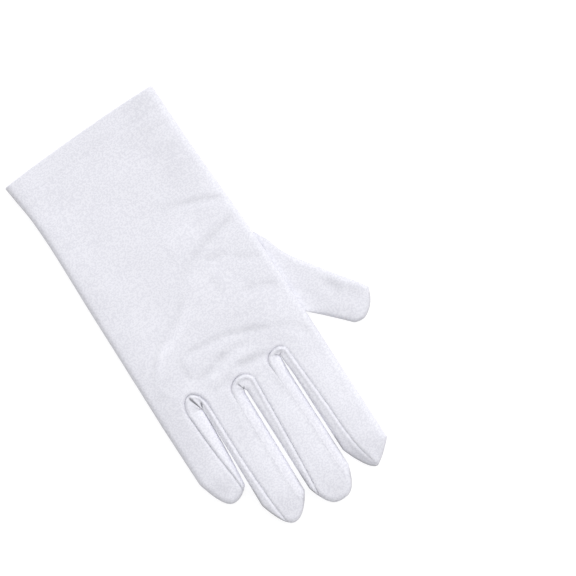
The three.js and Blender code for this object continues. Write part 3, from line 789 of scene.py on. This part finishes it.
def make_unevenness():
    """Uneven white: slow clouds and fine specks between two whites, and a mask of the same pattern."""
    inputs = [("Vector", VECTOR, None), ("Light", COLOUR, (0.9, 0.9, 0.93, 1)),
              ("Dark", COLOUR, (0.8, 0.8, 0.85, 1)), ("Specks", NUMBER, 0.4)]
    group, given, result = new_group("uneven_white", inputs, [("Color", COLOUR), ("Mask", NUMBER)])
    clouds, specks = group.nodes.new("ShaderNodeTexNoise"), group.nodes.new("ShaderNodeTexNoise")
    for noise, scale, detail in ((clouds, 45, 3), (specks, 1100, 2)):
        noise.inputs["Scale"].default_value = scale
        noise.inputs["Detail"].default_value = detail
        link(group, given.outputs["Vector"], noise.inputs["Vector"])
    speck = calculate(group, "SUBTRACT", specks.outputs["Fac"], 0.5)
    fine = calculate(group, "MULTIPLY", speck, given.outputs["Specks"])
    mask = calculate(group, "ADD", clouds.outputs["Fac"], fine)
    white = mix_colours(group, mask, given.outputs["Dark"], given.outputs["Light"])
    link(group, white, result.inputs["Color"])
    link(group, mask, result.inputs["Mask"])
    return group


def make_painted_shading():
    """Painted shade: the white a little darker between the loops, and darker by the painted shade that
    the mesh carries, and lighter where that is below 0.
    """
    inputs = [("Color", COLOUR, (1, 1, 1, 1)), ("Shade", NUMBER, 1.0), ("Painted shade", NUMBER, 0.0)]
    group, given, result = new_group("painted_shading", inputs, [("Color", COLOUR)])
    shaded = mix_colours(group, LOOP_SHADE, given.outputs["Color"], given.outputs["Shade"], "MULTIPLY")
    fold_and_painted_shade = mix_colours(group, given.outputs["Painted shade"], shaded, (0, 0, 0, 1), clamp=False)
    link(group, fold_and_painted_shade, result.inputs["Color"])
    return group


def make_crinkles():
    """Crinkles: a fine noise that gives the height of tiny uneven waves in the cloth."""
    inputs = [("Vector", VECTOR, None), ("Scale", NUMBER, 700)]
    group, given, result = new_group("crinkles", inputs, [("Height", NUMBER)])
    waves = group.nodes.new("ShaderNodeTexNoise")
    waves.inputs["Detail"].default_value = 3
    link(group, given.outputs["Vector"], waves.inputs["Vector"])
    link(group, given.outputs["Scale"], waves.inputs["Scale"])
    link(group, waves.outputs["Fac"], result.inputs["Height"])
    return group


LOOPS, UNEVEN, PAINTED_SHADING, CRINKLES = make_loops(), make_unevenness(), make_painted_shading(), make_crinkles()
print("node groups:", [group.name for group in (LOOPS, UNEVEN, PAINTED_SHADING, CRINKLES)])

# %% Material of the cloth


def place_group(tree, group, **values):
    """A group node in a material, with its input values."""
    node = tree.nodes.new("ShaderNodeGroup")
    node.node_tree = group
    for label, value in values.items():
        node.inputs[label].default_value = value
    return node


def add_bump(tree, height, distance, strength, normal=None):
    """A Bump node for a height, on top of another bump's normal."""
    bump = tree.nodes.new("ShaderNodeBump")
    bump.inputs["Distance"].default_value = distance
    bump.inputs["Strength"].default_value = strength
    link(tree, height, bump.inputs["Height"])
    if normal is not None:
        link(tree, normal, bump.inputs["Normal"])
    return bump.outputs["Normal"]


def make_knit(name, light, dark, bump, pitch, specks, scale):
    """White knit: uneven white between light and dark, a soft sheen, and bumps. bump and pitch are the height
    and width of a loop in metres, specks the strength of the grain and scale the fineness of the crinkles."""
    material = bpy.data.materials.new(name)
    material.use_nodes = True
    tree = material.node_tree
    shader = tree.nodes["Principled BSDF"]
    shader.inputs["Sheen Weight"].default_value = 0.2
    shader.inputs["Sheen Roughness"].default_value = 0.45
    shader.inputs["Specular IOR Level"].default_value = 0.35
    uv, place = tree.nodes.new("ShaderNodeUVMap"), tree.nodes.new("ShaderNodeTexCoord")
    painted_shade_node = tree.nodes.new("ShaderNodeAttribute")
    uv.uv_map, painted_shade_node.attribute_name = "cloth", "fold_and_painted_shade"
    loops = place_group(tree, LOOPS, Pitch=pitch)
    white = place_group(tree, UNEVEN, Light=light, Dark=dark, Specks=specks)
    grey, crinkles = place_group(tree, PAINTED_SHADING), place_group(tree, CRINKLES, Scale=scale)
    link(tree, uv.outputs[0], loops.inputs["Vector"])
    link(tree, place.outputs["Object"], white.inputs["Vector"])
    link(tree, place.outputs["Object"], crinkles.inputs["Vector"])
    link(tree, white.outputs["Color"], grey.inputs["Color"])
    link(tree, loops.outputs["Shade"], grey.inputs["Shade"])
    link(tree, painted_shade_node.outputs["Fac"], grey.inputs["Painted shade"])
    link(tree, grey.outputs["Color"], shader.inputs["Base Color"])
    link(tree, calculate(tree, "MULTIPLY_ADD", white.outputs["Mask"], 0.12, 0.62), shader.inputs["Roughness"])
    woven = add_bump(tree, loops.outputs["Height"], bump, 0.6)
    link(tree, add_bump(tree, crinkles.outputs["Height"], 0.00016, 0.5, woven), shader.inputs["Normal"])
    return material


KNIT = make_knit("white_knit", light=(0.839, 0.839, 0.9, 1), dark=(0.754, 0.754, 0.82, 1), bump=0.00006,
                 pitch=0.00065, specks=9.0, scale=700)
print("material:", KNIT.name)

# %% [markdown]
# ## The hand's cloth
#
# The cloth of the back is a comb: the palm is one grid, and each finger's tongue of cloth goes on from its
# end. Between two fingers the palm's grid ends at the round bend of the seam. The underside is the same
# comb with the palm's heights. At the cuff the cloth turns over a soft edge and runs back inside as the hem.

# %% Columns and rows
NEAR_EDGE = (0, 0.12, 0.45, 1.0, 1.8, 2.9, 4.3)  # places of the first points, from an edge and from a seam
NEAR_SEAM = (0, 0.35, 0.8, 1.4, 2.2, 3.1)
COLUMN_PITCH, ROW_PITCH, PALM_PITCH, HEM_PITCH = 1.15, 1.1, 1.25, 0.45


def column_shares(k):
    """Shares across the hand's cloth on finger k, close together at seams and at the outer edges."""
    width = seam_point(k, "right", 0.0)[0] - seam_point(k, "left", 0.0)[0]
    first = NEAR_EDGE if k == 0 else NEAR_SEAM
    last = NEAR_EDGE if k == len(FINGERS) - 1 else NEAR_SEAM
    return steps_in(width, first, last, COLUMN_PITCH) / width


def finger_patch(k):
    """Plan of the cloth on finger k: rows from root to tip, columns from seam to seam."""
    length = FINGERS[k]["length"] * MIDDLE_LENGTH
    rows = steps_in(length, NEAR_SEAM, NEAR_EDGE, ROW_PITCH) / length
    t, c = np.meshgrid(rows, column_shares(k), indexing="ij")
    share = mix(seam_share(k, "left", t), seam_share(k, "right", t), c)
    return finger_point(k, share, t)


def palm_patch():
    """Plan of the palm: straight columns from the cuff to the fingers' roots and the bends between them."""
    ends = []
    for k in range(len(FINGERS)):
        c = column_shares(k)
        share = mix(seam_share(k, "left", np.zeros(1)), seam_share(k, "right", np.zeros(1)), c)
        ends.append(finger_point(k, share, 0.0))
        if k < len(FOURCHETTES):
            ends.append(bend_point(k, np.linspace(0, 1, 13)[1:-1]))
    ends = np.concatenate(ends)
    hem = np.arange(HEM_DEPTH - 1.6, HEM_DEPTH + 2, HEM_PITCH)
    rows = np.concatenate([[EDGE_RADIUS, 0.9, 1.5], np.arange(2.4, hem[0] - 0.3, ROW_PITCH), hem])
    palm = steps_in(PALM_LENGTH - hem[-1], (0, 0.6), NEAR_SEAM, PALM_PITCH)[1:]
    rows = np.concatenate([rows, palm + hem[-1]])
    share = (rows / PALM_LENGTH)[:, None]
    across = (ends[:, 0] + HAND_WIDTH / 2) / HAND_WIDTH
    x = mix(hand_edge("thumb", share), hand_edge("little", share), across)
    return np.stack([x, mix(cuff_line(x), ends[:, 1], share)], -1)


def cloth_patch(plan, surface, flipped):
    """A patch with its grey and UV, from a plan and the function that gives its height and grey."""
    height, grey = surface(plan)
    patch = raised(plan, height)
    return [patch, grey, straight_uv(patch), flipped]


PALM_PLAN = palm_patch()
FINGER_PLANS = [finger_patch(k) for k in range(len(FINGERS))]
print("palm grid:", PALM_PLAN.shape[:2], "finger grids:", [plan.shape[:2] for plan in FINGER_PLANS])

# %% The turned cuff
CUFF_ROWS = 9  # rows of the hem, and rows around the cuff's edge


def cuff_patch(heights):
    """The cloth from the hem's inner end to the cuff's edge and around it, as a row of insets."""
    turn = np.linspace(np.pi, 0, CUFF_ROWS)
    depths = np.concatenate([np.linspace(HEM_DEPTH, 0.9, CUFF_ROWS), EDGE_RADIUS * (1 - np.sin(turn))])
    insets = np.concatenate([np.full(CUFF_ROWS, 2 * EDGE_RADIUS), EDGE_RADIUS * (1 - np.cos(turn))])
    first = PALM_PLAN[0]
    across = (first[:, 0] - first[0, 0]) / np.ptp(first[:, 0])
    rows = []
    for depth, inset in zip(depths, insets):
        left, right = (hand_edge(side, depth / PALM_LENGTH) for side in ("thumb", "little"))
        x = mix(left + inset, right - inset, across)
        plan = np.stack([x, first[:, 1] + depth - EDGE_RADIUS], -1)
        rows.append(raised(plan, heights(plan, inset)[0]))
    return np.array(rows)


# %% Make the hand's cloth
patches = []
for surface, flipped in ((hand_top, False), (hand_bottom, True)):
    sheets = [cloth_patch(plan, surface, flipped) for plan in [PALM_PLAN, *FINGER_PLANS]]
    cuff = cuff_patch(lambda plan, inset: surface(plan, inset, False))
    cuff[-1] = sheets[0][0][0]
    patches += sheets + [[cuff, 0.0, straight_uv(cuff), flipped]]

HOLE_FROM_BASE, HOLE_LONG, HOLE_WIDE = 16.7, 12.5, 11.5  # its middle from the thumb's base, and its half sizes
HOLE_MIDDLE = THUMB_CROSSING + (THUMB_START + HOLE_FROM_BASE) * ALONG


def in_hole(places):
    """True for places in the oval hole in the palm that the thumb is set into."""
    away = places[:, :2] - HOLE_MIDDLE
    return (away @ ALONG / HOLE_LONG) ** 2 + (away @ ACROSS / HOLE_WIDE) ** 2 < 1


hand_mesh = make_mesh("hand_cloth", patches, lambda places, underside: ~(in_hole(places) & underside))
add_piece("hand_cloth", hand_mesh, KNIT, "hand_body")

# %% [markdown]
# ## The fourchettes
#
# A fourchette is a strip that runs down the side of one finger, around the crotch and up the side of the
# next. Its grid follows the seam in one direction and goes over the side of the finger in the other, from
# the seam on the back, over the outline, to the seam in the palm. Where it turns at the crotch, the strip
# has to fold, which makes the small V that every glove has between its fingers.

# %% Paths along a fourchette
SIDE_ROWS, BEND_ROWS = 104, 52
CLOSING = 0.44  # share of the gap that each side moves where the two sides press against each other


def even_along(points, count):
    """The same path with evenly spaced points."""
    length = lengths_along(points)
    at = np.linspace(0, length[-1], count)
    return np.stack([np.interp(at, length, points[:, i]) for i in (0, 1)], -1)


def closed_at(k, points):
    """How far the two sides of fourchette k press against each other: 1 at the crotch, then less."""
    return 1 - ease((points[:, 1] - crotch_end(k)) / FOURCHETTES[k]["closed"])


def fourchette_paths(k):
    """Seam and outline of fourchette k, row by row, and how far around the bend each row lies. Near the
    crotch the two outlines close in on each other."""
    t, strip = np.linspace(0, 1, 200), FOURCHETTES[k]
    before = np.concatenate([tip_line(k, 1 - strip["before"][-1]), finger_point(k, 1, t[::-1])])
    after = np.concatenate([finger_point(k + 1, 0, t), tip_line(k + 1, 0, strip["after"][-1])])
    for side, direction in ((before, 1), (after, -1)):
        side[:, 0] += direction * CLOSING * strip["gap"] * CROTCH_UNIT * closed_at(k, side)
    turn = np.linspace(0, 1, BEND_ROWS)[1:-1]
    seam = [even_along(seam_point(k, "right", t[::-1]), SIDE_ROWS), bend_point(k, turn),
            even_along(seam_point(k + 1, "left", t), SIDE_ROWS)]
    edge = [even_along(before, SIDE_ROWS), mix(before[-1], after[0], turn[:, None]),
            even_along(after, SIDE_ROWS)]
    turns = np.concatenate([np.zeros(SIDE_ROWS), turn, np.ones(SIDE_ROWS)])
    return np.concatenate(seam), np.concatenate(edge), turns


# %% Surface of a fourchette
UNDER_COLUMNS, OVER_COLUMNS = 15, 21  # from the outline to the seam in the palm, and to the one on the back
TOWARDS_SEAM = 1.35  # power that puts the columns closer together at the outline
FLAT_OVER, SQUARE_FROM, SQUARE_OVER = 34.0, 30.0, 45.0  # from the tip down, the profile changes over these
CROTCH_SQUARE, LIT_SQUARE, LOW_SQUARE = 5.5, 2.6, 2.2  # how squarely the cloth curves in different places
# grey is painted shade in each tuck
TUCKS = [dict(strip=0, at=0.2, wide=0.07, deep=0.6, grey=0.35, ends=(0.0, 0.3)),
         dict(strip=0, at=0.7, wide=0.05, deep=0.6, grey=0.35, ends=(0.05, 0.4)),
         dict(strip=1, at=0.63, wide=0.035, deep=0.7, grey=0.4, ends=(0.0, 0.6)),
         dict(strip=1, at=0.45, wide=0.16, deep=0.8, grey=0.8, ends=(-0.2, 0.13)),
         dict(strip=2, at=0.24, wide=0.05, deep=1.0, grey=0.6, ends=(0.0, 0.5)),
         dict(strip=2, at=0.56, wide=0.04, deep=1.2, grey=0.7, ends=(0.0, 0.85))]
TUCK_START = 0.06  # share from the outline over which a tuck sets in
SHALLOW = 0.55  # how much less deep the cloth lies where its two sides press against each other
PAINTED_EDGE_HIGHLIGHT = 0.16  # painted highlight on the strip's outline where it faces the light
WELT_AT, WELT_WIDE = 1.5, 0.95
WELT_HIGH = dict(at=(0, 0.3, 0.42, 0.48, 0.53, 0.6, 1), high=(0.1, 0.3, 0.5, 0.75, 0.4, 0.05, 0.0))


def fourchette_patch(k):
    """Rows along the seam, columns from the seam in the palm over the outline to the seam on the back. The
    height goes from the outline to the seam as a squarish quarter circle, and as a straighter slope beside
    the fingertip. In the bend the cloth stands up as a welt and folds into tucks towards the crotch. Painted
    shade darkens the seam's groove, the tucks and the outer seam, and a painted highlight lightens the
    outline on the lit side. share is 0 at the outline and 1 at the seam."""
    seam, edge, turns = fourchette_paths(k)
    turn = turns[:, None]
    w = np.concatenate([-np.linspace(1, 0, UNDER_COLUMNS), np.linspace(0, 1, OVER_COLUMNS)[1:]])
    share, upper = (abs(w) ** TOWARDS_SEAM)[None], w > 0
    plan = mix(edge[:, None], seam[:, None], share[..., None])
    at_seam, level = hand_levels(seam), hand_levels(edge)["edge"]
    level = mix(level, at_seam["top"], SHALLOW * closed_at(k, edge))
    high = (at_seam["top"] + slack_at(seam, **TOP_SLACK) + folds_at(seam)[0] - level)[:, None]
    low = (level - at_seam["bottom"])[:, None]
    place = lengths_along(seam)[:, None]
    to_tip = np.minimum(place, place[-1] - place)
    straight = FOURCHETTES[k]["flat"] * (1 - ease(to_tip / FLAT_OVER)) * (turn < 0.5)
    square = mix(FOURCHETTES[k]["square"], CROTCH_SQUARE, ease((to_tip - SQUARE_FROM) / SQUARE_OVER))
    square = mix(square, LIT_SQUARE, ease(2 * turn - 1))
    profile = mix(rounded(share, 1.0, square), share, straight)
    height = level[:, None] + np.where(upper, high * profile, -low * rounded(share, 1.0, LOW_SQUARE))
    from_seam = np.linalg.norm(plan - seam[:, None], axis=-1)
    calm = ease(np.linalg.norm(seam - edge, axis=-1)[:, None] / 3) * upper
    relief, grey = seam_relief(k, from_seam, np.broadcast_to(place, from_seam.shape))
    welt = np.interp(place / place[-1], WELT_HIGH["at"], WELT_HIGH["high"])
    relief, grey = (relief + welt * bell(from_seam, WELT_AT, WELT_WIDE)) * calm, grey * calm
    in_bend = upper * (np.sin(np.pi * turn) > 0) * np.clip(share / TUCK_START, 0, 1)
    for tuck in (tuck for tuck in TUCKS if tuck["strip"] == k):
        first, last = tuck["ends"]
        near = ease((share - first) / 0.15 + 0.5) * (1 - ease((share - last) / 0.2 + 0.5))
        fold = bell(turn, tuck["at"], tuck["wide"]) * near * in_bend
        relief, grey = relief - tuck["deep"] * fold, grey + tuck["grey"] * fold
    painted_highlight = PAINTED_EDGE_HIGHLIGHT * ease(4 * turn - 3) * bell(share, 0, 0.3)
    return raised(plan, np.maximum(height + relief, 0.02)), grey + painted_edge_shade(plan, share) - painted_highlight


for k, strip in enumerate(FOURCHETTES):
    node = "fourchette_" + strip["name"]
    patch, grey = fourchette_patch(k)
    mesh = make_mesh(node + "_cloth", [[patch, grey, cloth_uv(patch), False]])
    add_piece(node + "_cloth", mesh, KNIT, node)

# %% [markdown]
# ## The thumb
#
# The thumb is a flat pocket that lies on the surface. Its base is hidden under the palm, where its edge is
# drawn up to the palm's cloth and sewn around the hole. The part that shows has a dimple and a soft crease
# near the tip, because the empty cloth has sunk in.

# %% Surface of the thumb
THUMB_ROW_PITCH, THUMB_COLUMN_PITCH = 0.7, 0.6
THUMB_ENDS = dict(tip=dict(apex=0.55, outer=(0.18, 1.85), inner=(0.2, 3.3)),
                  base=dict(apex=0.5, outer=(0.4, 2.0), inner=(0.4, 2.0)))


def end_drop(end, share):
    """How far back the thumb's end lies at a share across it."""
    shape = THUMB_ENDS[end]
    near = np.clip((shape["apex"] - share) / shape["apex"], 0, None)
    far = np.clip((share - shape["apex"]) / (1 - shape["apex"]), 0, None)
    (outer, outer_power), (inner, inner_power) = shape["outer"], shape["inner"]
    return THUMB_WIDTH * (outer * near**outer_power + inner * far**inner_power)


def thumb_plan():
    """Rows along the thumb and columns across it, in its own frame and in the glove's."""
    rows = steps_in(THUMB_LENGTH, NEAR_EDGE, NEAR_EDGE, THUMB_ROW_PITCH) / THUMB_LENGTH
    share = steps_in(THUMB_WIDTH, NEAR_EDGE, NEAR_EDGE, THUMB_COLUMN_PITCH) / THUMB_WIDTH
    t, c = np.meshgrid(rows, share, indexing="ij")
    line = mix(THUMB_START, THUMB_SHOWN, t)
    across = mix(-thumb_edge("outer", line), thumb_edge("inner", line), c)
    along = mix(THUMB_START + end_drop("base", c), THUMB_SHOWN - end_drop("tip", c), t)
    return along, across, THUMB_CROSSING + along[..., None] * ALONG + across[..., None] * ACROSS


FREE_HEIGHT, FREE_SLOPE = 7.75, 0.03  # height beside the hand, and how fast it gets lower from there
STEP_FROM, STEP_OVER, KEPT_UNDER = -2.8, 1.3, -1.6  # the step up to that height, measured from the hand's edge
SEWN_FROM, SEWN_OVER, SEWN_LEVEL = 6.0, 22.0, 0.93  # the base, whose edge is drawn up to the palm's hole
THUMB_ROLL, THUMB_UNDER, SEWN_UNDER, UNDER_SQUARE = 2.7, 3.0, 6.5, 2.3
FREE_FROM, SINK_OVER, DENTS_OVER = 1.0, 6.0, 5.0  # beyond the hand, its outline sinks and the dents set in
BRIGHT_AT, BRIGHT_WIDE = 0.3, 1.2  # a band right beside the hand that is less grey
THUMB_SLACK = dict(seed=21, waves=7, lengths=(9, 26), height=0.12)
THUMB_GREY = 0.04
# grey is painted shade in a dent, and a painted highlight on a raised bump where it is below 0
THUMB_DENTS = [dict(at=(25.5, -3.0), long=4.6, wide=3.0, deep=0.95, grey=0.055),
               dict(at=(31.0, 5.3), long=4.0, wide=3.4, deep=-0.45, grey=-0.02),
               dict(at=(31.8, -7.0), long=3.0, wide=2.4, deep=-0.3, grey=-0.02),
               dict(at=(37.5, -3.0), long=3.6, wide=5.0, deep=0.5, grey=0.035),
               dict(at=(29.5, 0.0), long=2.2, wide=4.0, deep=0.35, grey=0.03),
               dict(at=(44.5, 1.0), long=1.6, wide=8.0, deep=-0.2, grey=-0.02),
               dict(at=(14, 4.0), long=8.0, wide=3.0, deep=0.2, grey=0.015)]


def thumb_patches():
    """Top and underside of the thumb: rolled at its outline, low under the palm and fuller where it's free,
    with dents that are bell curves along it and across it, painted shade in the dents and along the sewn
    edge, and painted highlights on the raised bumps."""
    along, across, plan = thumb_plan()
    border = np.concatenate([plan[:, 0], plan[-1], plan[::-1, -1], plan[0, ::-1]])
    distance = abs(nearest_on(border, plan)[0])
    distance = np.where(distance < 1e-6, 0, distance)
    beyond = hand_edge("thumb", np.clip(plan[..., 1] / PALM_LENGTH, 0, 1)) - plan[..., 0]
    tucked = lift_at(plan) - SEAM_GAP
    free = FREE_HEIGHT - FREE_SLOPE * np.maximum(beyond, 0)
    height = mix(tucked, free, ease((beyond - STEP_FROM) / STEP_OVER))
    below = hand_levels(plan)["bottom"] - SEAM_GAP
    height = np.where(beyond < KEPT_UNDER, np.maximum(np.minimum(height, below), tucked), height)
    sewn = 1 - ease((along - THUMB_START - SEWN_FROM) / SEWN_OVER)
    beside = 1 - ease((beyond - FREE_FROM) / SINK_OVER)
    edge = np.maximum(mix(EDGE_LEVEL, SEWN_LEVEL, sewn), mix(EDGE_LEVEL, 1.0, beside)) * height
    over = crowned(distance, THUMB_ROLL)
    under = rounded(distance, mix(THUMB_UNDER, SEWN_UNDER, sewn), UNDER_SQUARE)
    relief = slack_at(plan, **THUMB_SLACK)
    grey = THUMB_GREY * (1 - bell(beyond, BRIGHT_AT, BRIGHT_WIDE))
    for dent in THUMB_DENTS:
        hollow = bell(along, dent["at"][0], dent["long"]) * bell(across, dent["at"][1], dent["wide"])
        relief, grey = relief - dent["deep"] * hollow, grey + dent["grey"] * hollow
    relief = relief * ease((beyond - FREE_FROM) / DENTS_OVER) * ease(over)
    sewn_edge = np.concatenate([plan[len(plan) // 2 :, -1], plan[-1, ::-1]])
    top = raised(plan, edge + (height - edge) * over + relief)
    bottom = raised(plan, np.maximum(edge - edge * under, 0))
    top_grey, low_grey = grey + painted_seam_shade(sewn_edge, plan, over), painted_seam_shade(sewn_edge, plan, under)
    return [[top, top_grey, cloth_uv(top), False], [bottom, low_grey, cloth_uv(bottom), True]]


thumb_mesh = make_mesh("thumb_cloth", thumb_patches(), lambda places, underside: ~in_hole(places) | underside)
add_piece("thumb_cloth", thumb_mesh, KNIT, "thumb")

# %% [markdown]
# ## The hem's stitches
#
# A blind stitch catches only a thread or two of the outer cloth, so a short bit of sewing thread shows in
# each dimple. Each is a small tube along an arch that goes into the cloth at both ends. There are dozens, so
# each has only a few faces.

# %% Stitches
STITCH_HALF, STITCH_SLANT, STITCH_LIFT, STITCH_SUNK = 0.62, 0.15, 0.13, 0.1
THREAD_RADIUS = 0.07
STITCH_NUMBERS = np.arange(-10, 12)  # counted from the middle of the cuff


def arch_tubes(starts, ends, lifts, radius, rings=7, sides=6):
    """Tubes along arches: a ring of points around each place on each arch, as whole arrays."""
    t = np.linspace(0, 1, rings)[None, :, None]
    path = mix(starts[:, None], ends[:, None], t)
    path[..., 2] += lifts[:, None] * np.sin(np.pi * t[..., 0]) - STITCH_SUNK
    direction = (ends - starts) / np.linalg.norm(ends - starts, axis=-1, keepdims=True)
    side = np.cross(direction, (0.0, 0.0, 1.0))
    angle = np.linspace(0, 2 * np.pi, sides, endpoint=False)
    around = np.cos(angle)[:, None] * side[:, None] + np.sin(angle)[:, None] * np.array([0, 0, 1.0])
    return path[:, :, None] + radius * around[:, None]


def tube_uv(tubes):
    """UV in metres for the faces of tube_mesh: around the thread and along it."""
    count, rings, sides = tubes.shape[:3]
    around = np.linalg.norm(tubes[0, 0, 1] - tubes[0, 0, 0])
    along = np.linalg.norm(tubes[0, 1, 0] - tubes[0, 0, 0])
    u, v = np.meshgrid(np.arange(sides), np.arange(rings - 1))
    u, v = np.stack([u, u + 1, u + 1, u], -1) * around, np.stack([v, v, v + 1, v + 1], -1) * along
    walls = np.broadcast_to(np.stack([u, v], -1), (count, *u.shape, 2)).reshape(-1, 2)
    return np.concatenate([walls, np.zeros((2 * count * sides, 2))]) * METRE


def tube_mesh(name, tubes):
    """Faces between the rings of each tube, and an end face at both ends."""
    count, rings, sides = tubes.shape[:3]
    index = np.arange(count * rings * sides).reshape(count, rings, sides)
    following = np.roll(index, -1, axis=2)
    walls = np.stack([index[:, :-1], following[:, :-1], following[:, 1:], index[:, 1:]], -1).reshape(-1, 4)
    ends = [*index[:, 0, ::-1].tolist(), *index[:, -1].tolist()]
    mesh = bpy.data.meshes.new(name)
    points = (tubes.reshape(-1, 3) + MODEL_SHIFT) * METRE
    mesh.from_pydata(points.tolist(), [], walls.tolist() + ends)
    mesh.uv_layers.new(name="cloth").data.foreach_set("uv", tube_uv(tubes).astype(np.float32).ravel())
    mesh.attributes.new("fold_and_painted_shade", "FLOAT", "POINT")
    mesh.shade_smooth()
    net = bmesh.new()
    net.from_mesh(mesh)
    bmesh.ops.recalc_face_normals(net, faces=net.faces)
    net.to_mesh(mesh)
    net.free()
    return mesh


def stitch_ends(x, heights):
    """Both ends of the stitches at places x on the stitch line, on the surface."""
    ends = []
    for shift in (-STITCH_HALF, STITCH_HALF):
        plan = np.stack([x + shift, cuff_line(x) + STITCH_LINE + STITCH_SLANT * shift], -1)
        ends.append(raised(plan, heights(plan)[0]))
    return ends


places = STITCH_NUMBERS * STITCH_PITCH
top_start, top_end = stitch_ends(places, lambda plan: hand_top(plan, detail=False))
low_start, low_end = stitch_ends(places, lambda plan: hand_bottom(plan, detail=False))
stitches = arch_tubes(np.concatenate([top_start, low_start]), np.concatenate([top_end, low_end]),
                      np.repeat([STITCH_LIFT, 0.0], len(places)), THREAD_RADIUS)
THREAD = make_knit("sewing_thread", light=(0.86, 0.86, 0.9, 1), dark=(0.78, 0.78, 0.84, 1), bump=0.00003,
                   pitch=0.0003, specks=2.0, scale=2500)
add_piece("hem_stitches", tube_mesh("hem_stitches", stitches), THREAD, thickness=0)

# %% [markdown]
# ## Floor, light and picture
#
# Such a glove is often shown on a light table, which is a white surface that glows a little, so that even
# the narrow gaps between the fingers stay bright. The floor here is a pale matt surface with such a glow.
# The light is a dome that is brightest high up at the thumb's side and fades smoothly away from there, as
# one very large soft lamp gives. Edges that face it are light and edges that face away are darker, which is
# what shows that the flat cloth has a round edge. Lamps would need many samples to be this soft.

# %% Floor
GLOW, FLOOR_WHITE = 0.75, 0.34


def make_floor():
    """A wide flat plane just below the glove, in plain matt white with a slight glow."""
    reach, low = 3.0, -0.0002
    corners = [(-reach, -reach, low), (reach, -reach, low), (reach, reach, low), (-reach, reach, low)]
    mesh = bpy.data.meshes.new("floor")
    mesh.from_pydata(corners, [], [(0, 1, 2, 3)])
    floor = bpy.data.objects.new("floor", mesh)
    bpy.context.scene.collection.objects.link(floor)
    material = bpy.data.materials.new("floor_white")
    material.use_nodes = True
    shader = material.node_tree.nodes["Principled BSDF"]
    shader.inputs["Base Color"].default_value = (FLOOR_WHITE, FLOOR_WHITE, FLOOR_WHITE, 1)
    shader.inputs["Roughness"].default_value = 0.9
    shader.inputs["Specular IOR Level"].default_value = 0.1
    shader.inputs["Emission Color"].default_value = (1, 1, 1, 1)
    shader.inputs["Emission Strength"].default_value = GLOW
    mesh.materials.append(material)


make_floor()
print("floor glow:", GLOW)

# %% Light and colour
DOME_STRENGTH, DOME_REST = 1.76, 0.02
DOME_TURN, DOME_RISE = np.radians(215), np.radians(60)


def make_dome():
    """A world whose light is the cosine of the angle from its brightest direction, and never below 0."""
    world = bpy.data.worlds.new("dome")
    bpy.context.scene.world = world
    world.use_nodes = True
    tree = world.node_tree
    background = tree.nodes["Background"]
    background.inputs["Color"].default_value = (1, 1, 1, 1)
    look, turned = tree.nodes.new("ShaderNodeTexCoord"), tree.nodes.new("ShaderNodeVectorMath")
    turned.operation = "DOT_PRODUCT"
    flat = np.cos(DOME_RISE)
    turned.inputs[1].default_value = (np.cos(DOME_TURN) * flat, np.sin(DOME_TURN) * flat, np.sin(DOME_RISE))
    link(tree, look.outputs["Generated"], turned.inputs[0])
    bright = calculate(tree, "MAXIMUM", turned.outputs["Value"], 0.0)
    link(tree, calculate(tree, "MULTIPLY_ADD", bright, DOME_STRENGTH, DOME_REST), background.inputs["Strength"])


make_dome()
view = bpy.context.scene.view_settings
view.view_transform, view.look = "Standard", "None"
view.exposure, view.gamma = 0.0, 1.0
print("dome strength:", DOME_STRENGTH, "from", round(float(np.degrees(DOME_TURN))), "degrees")
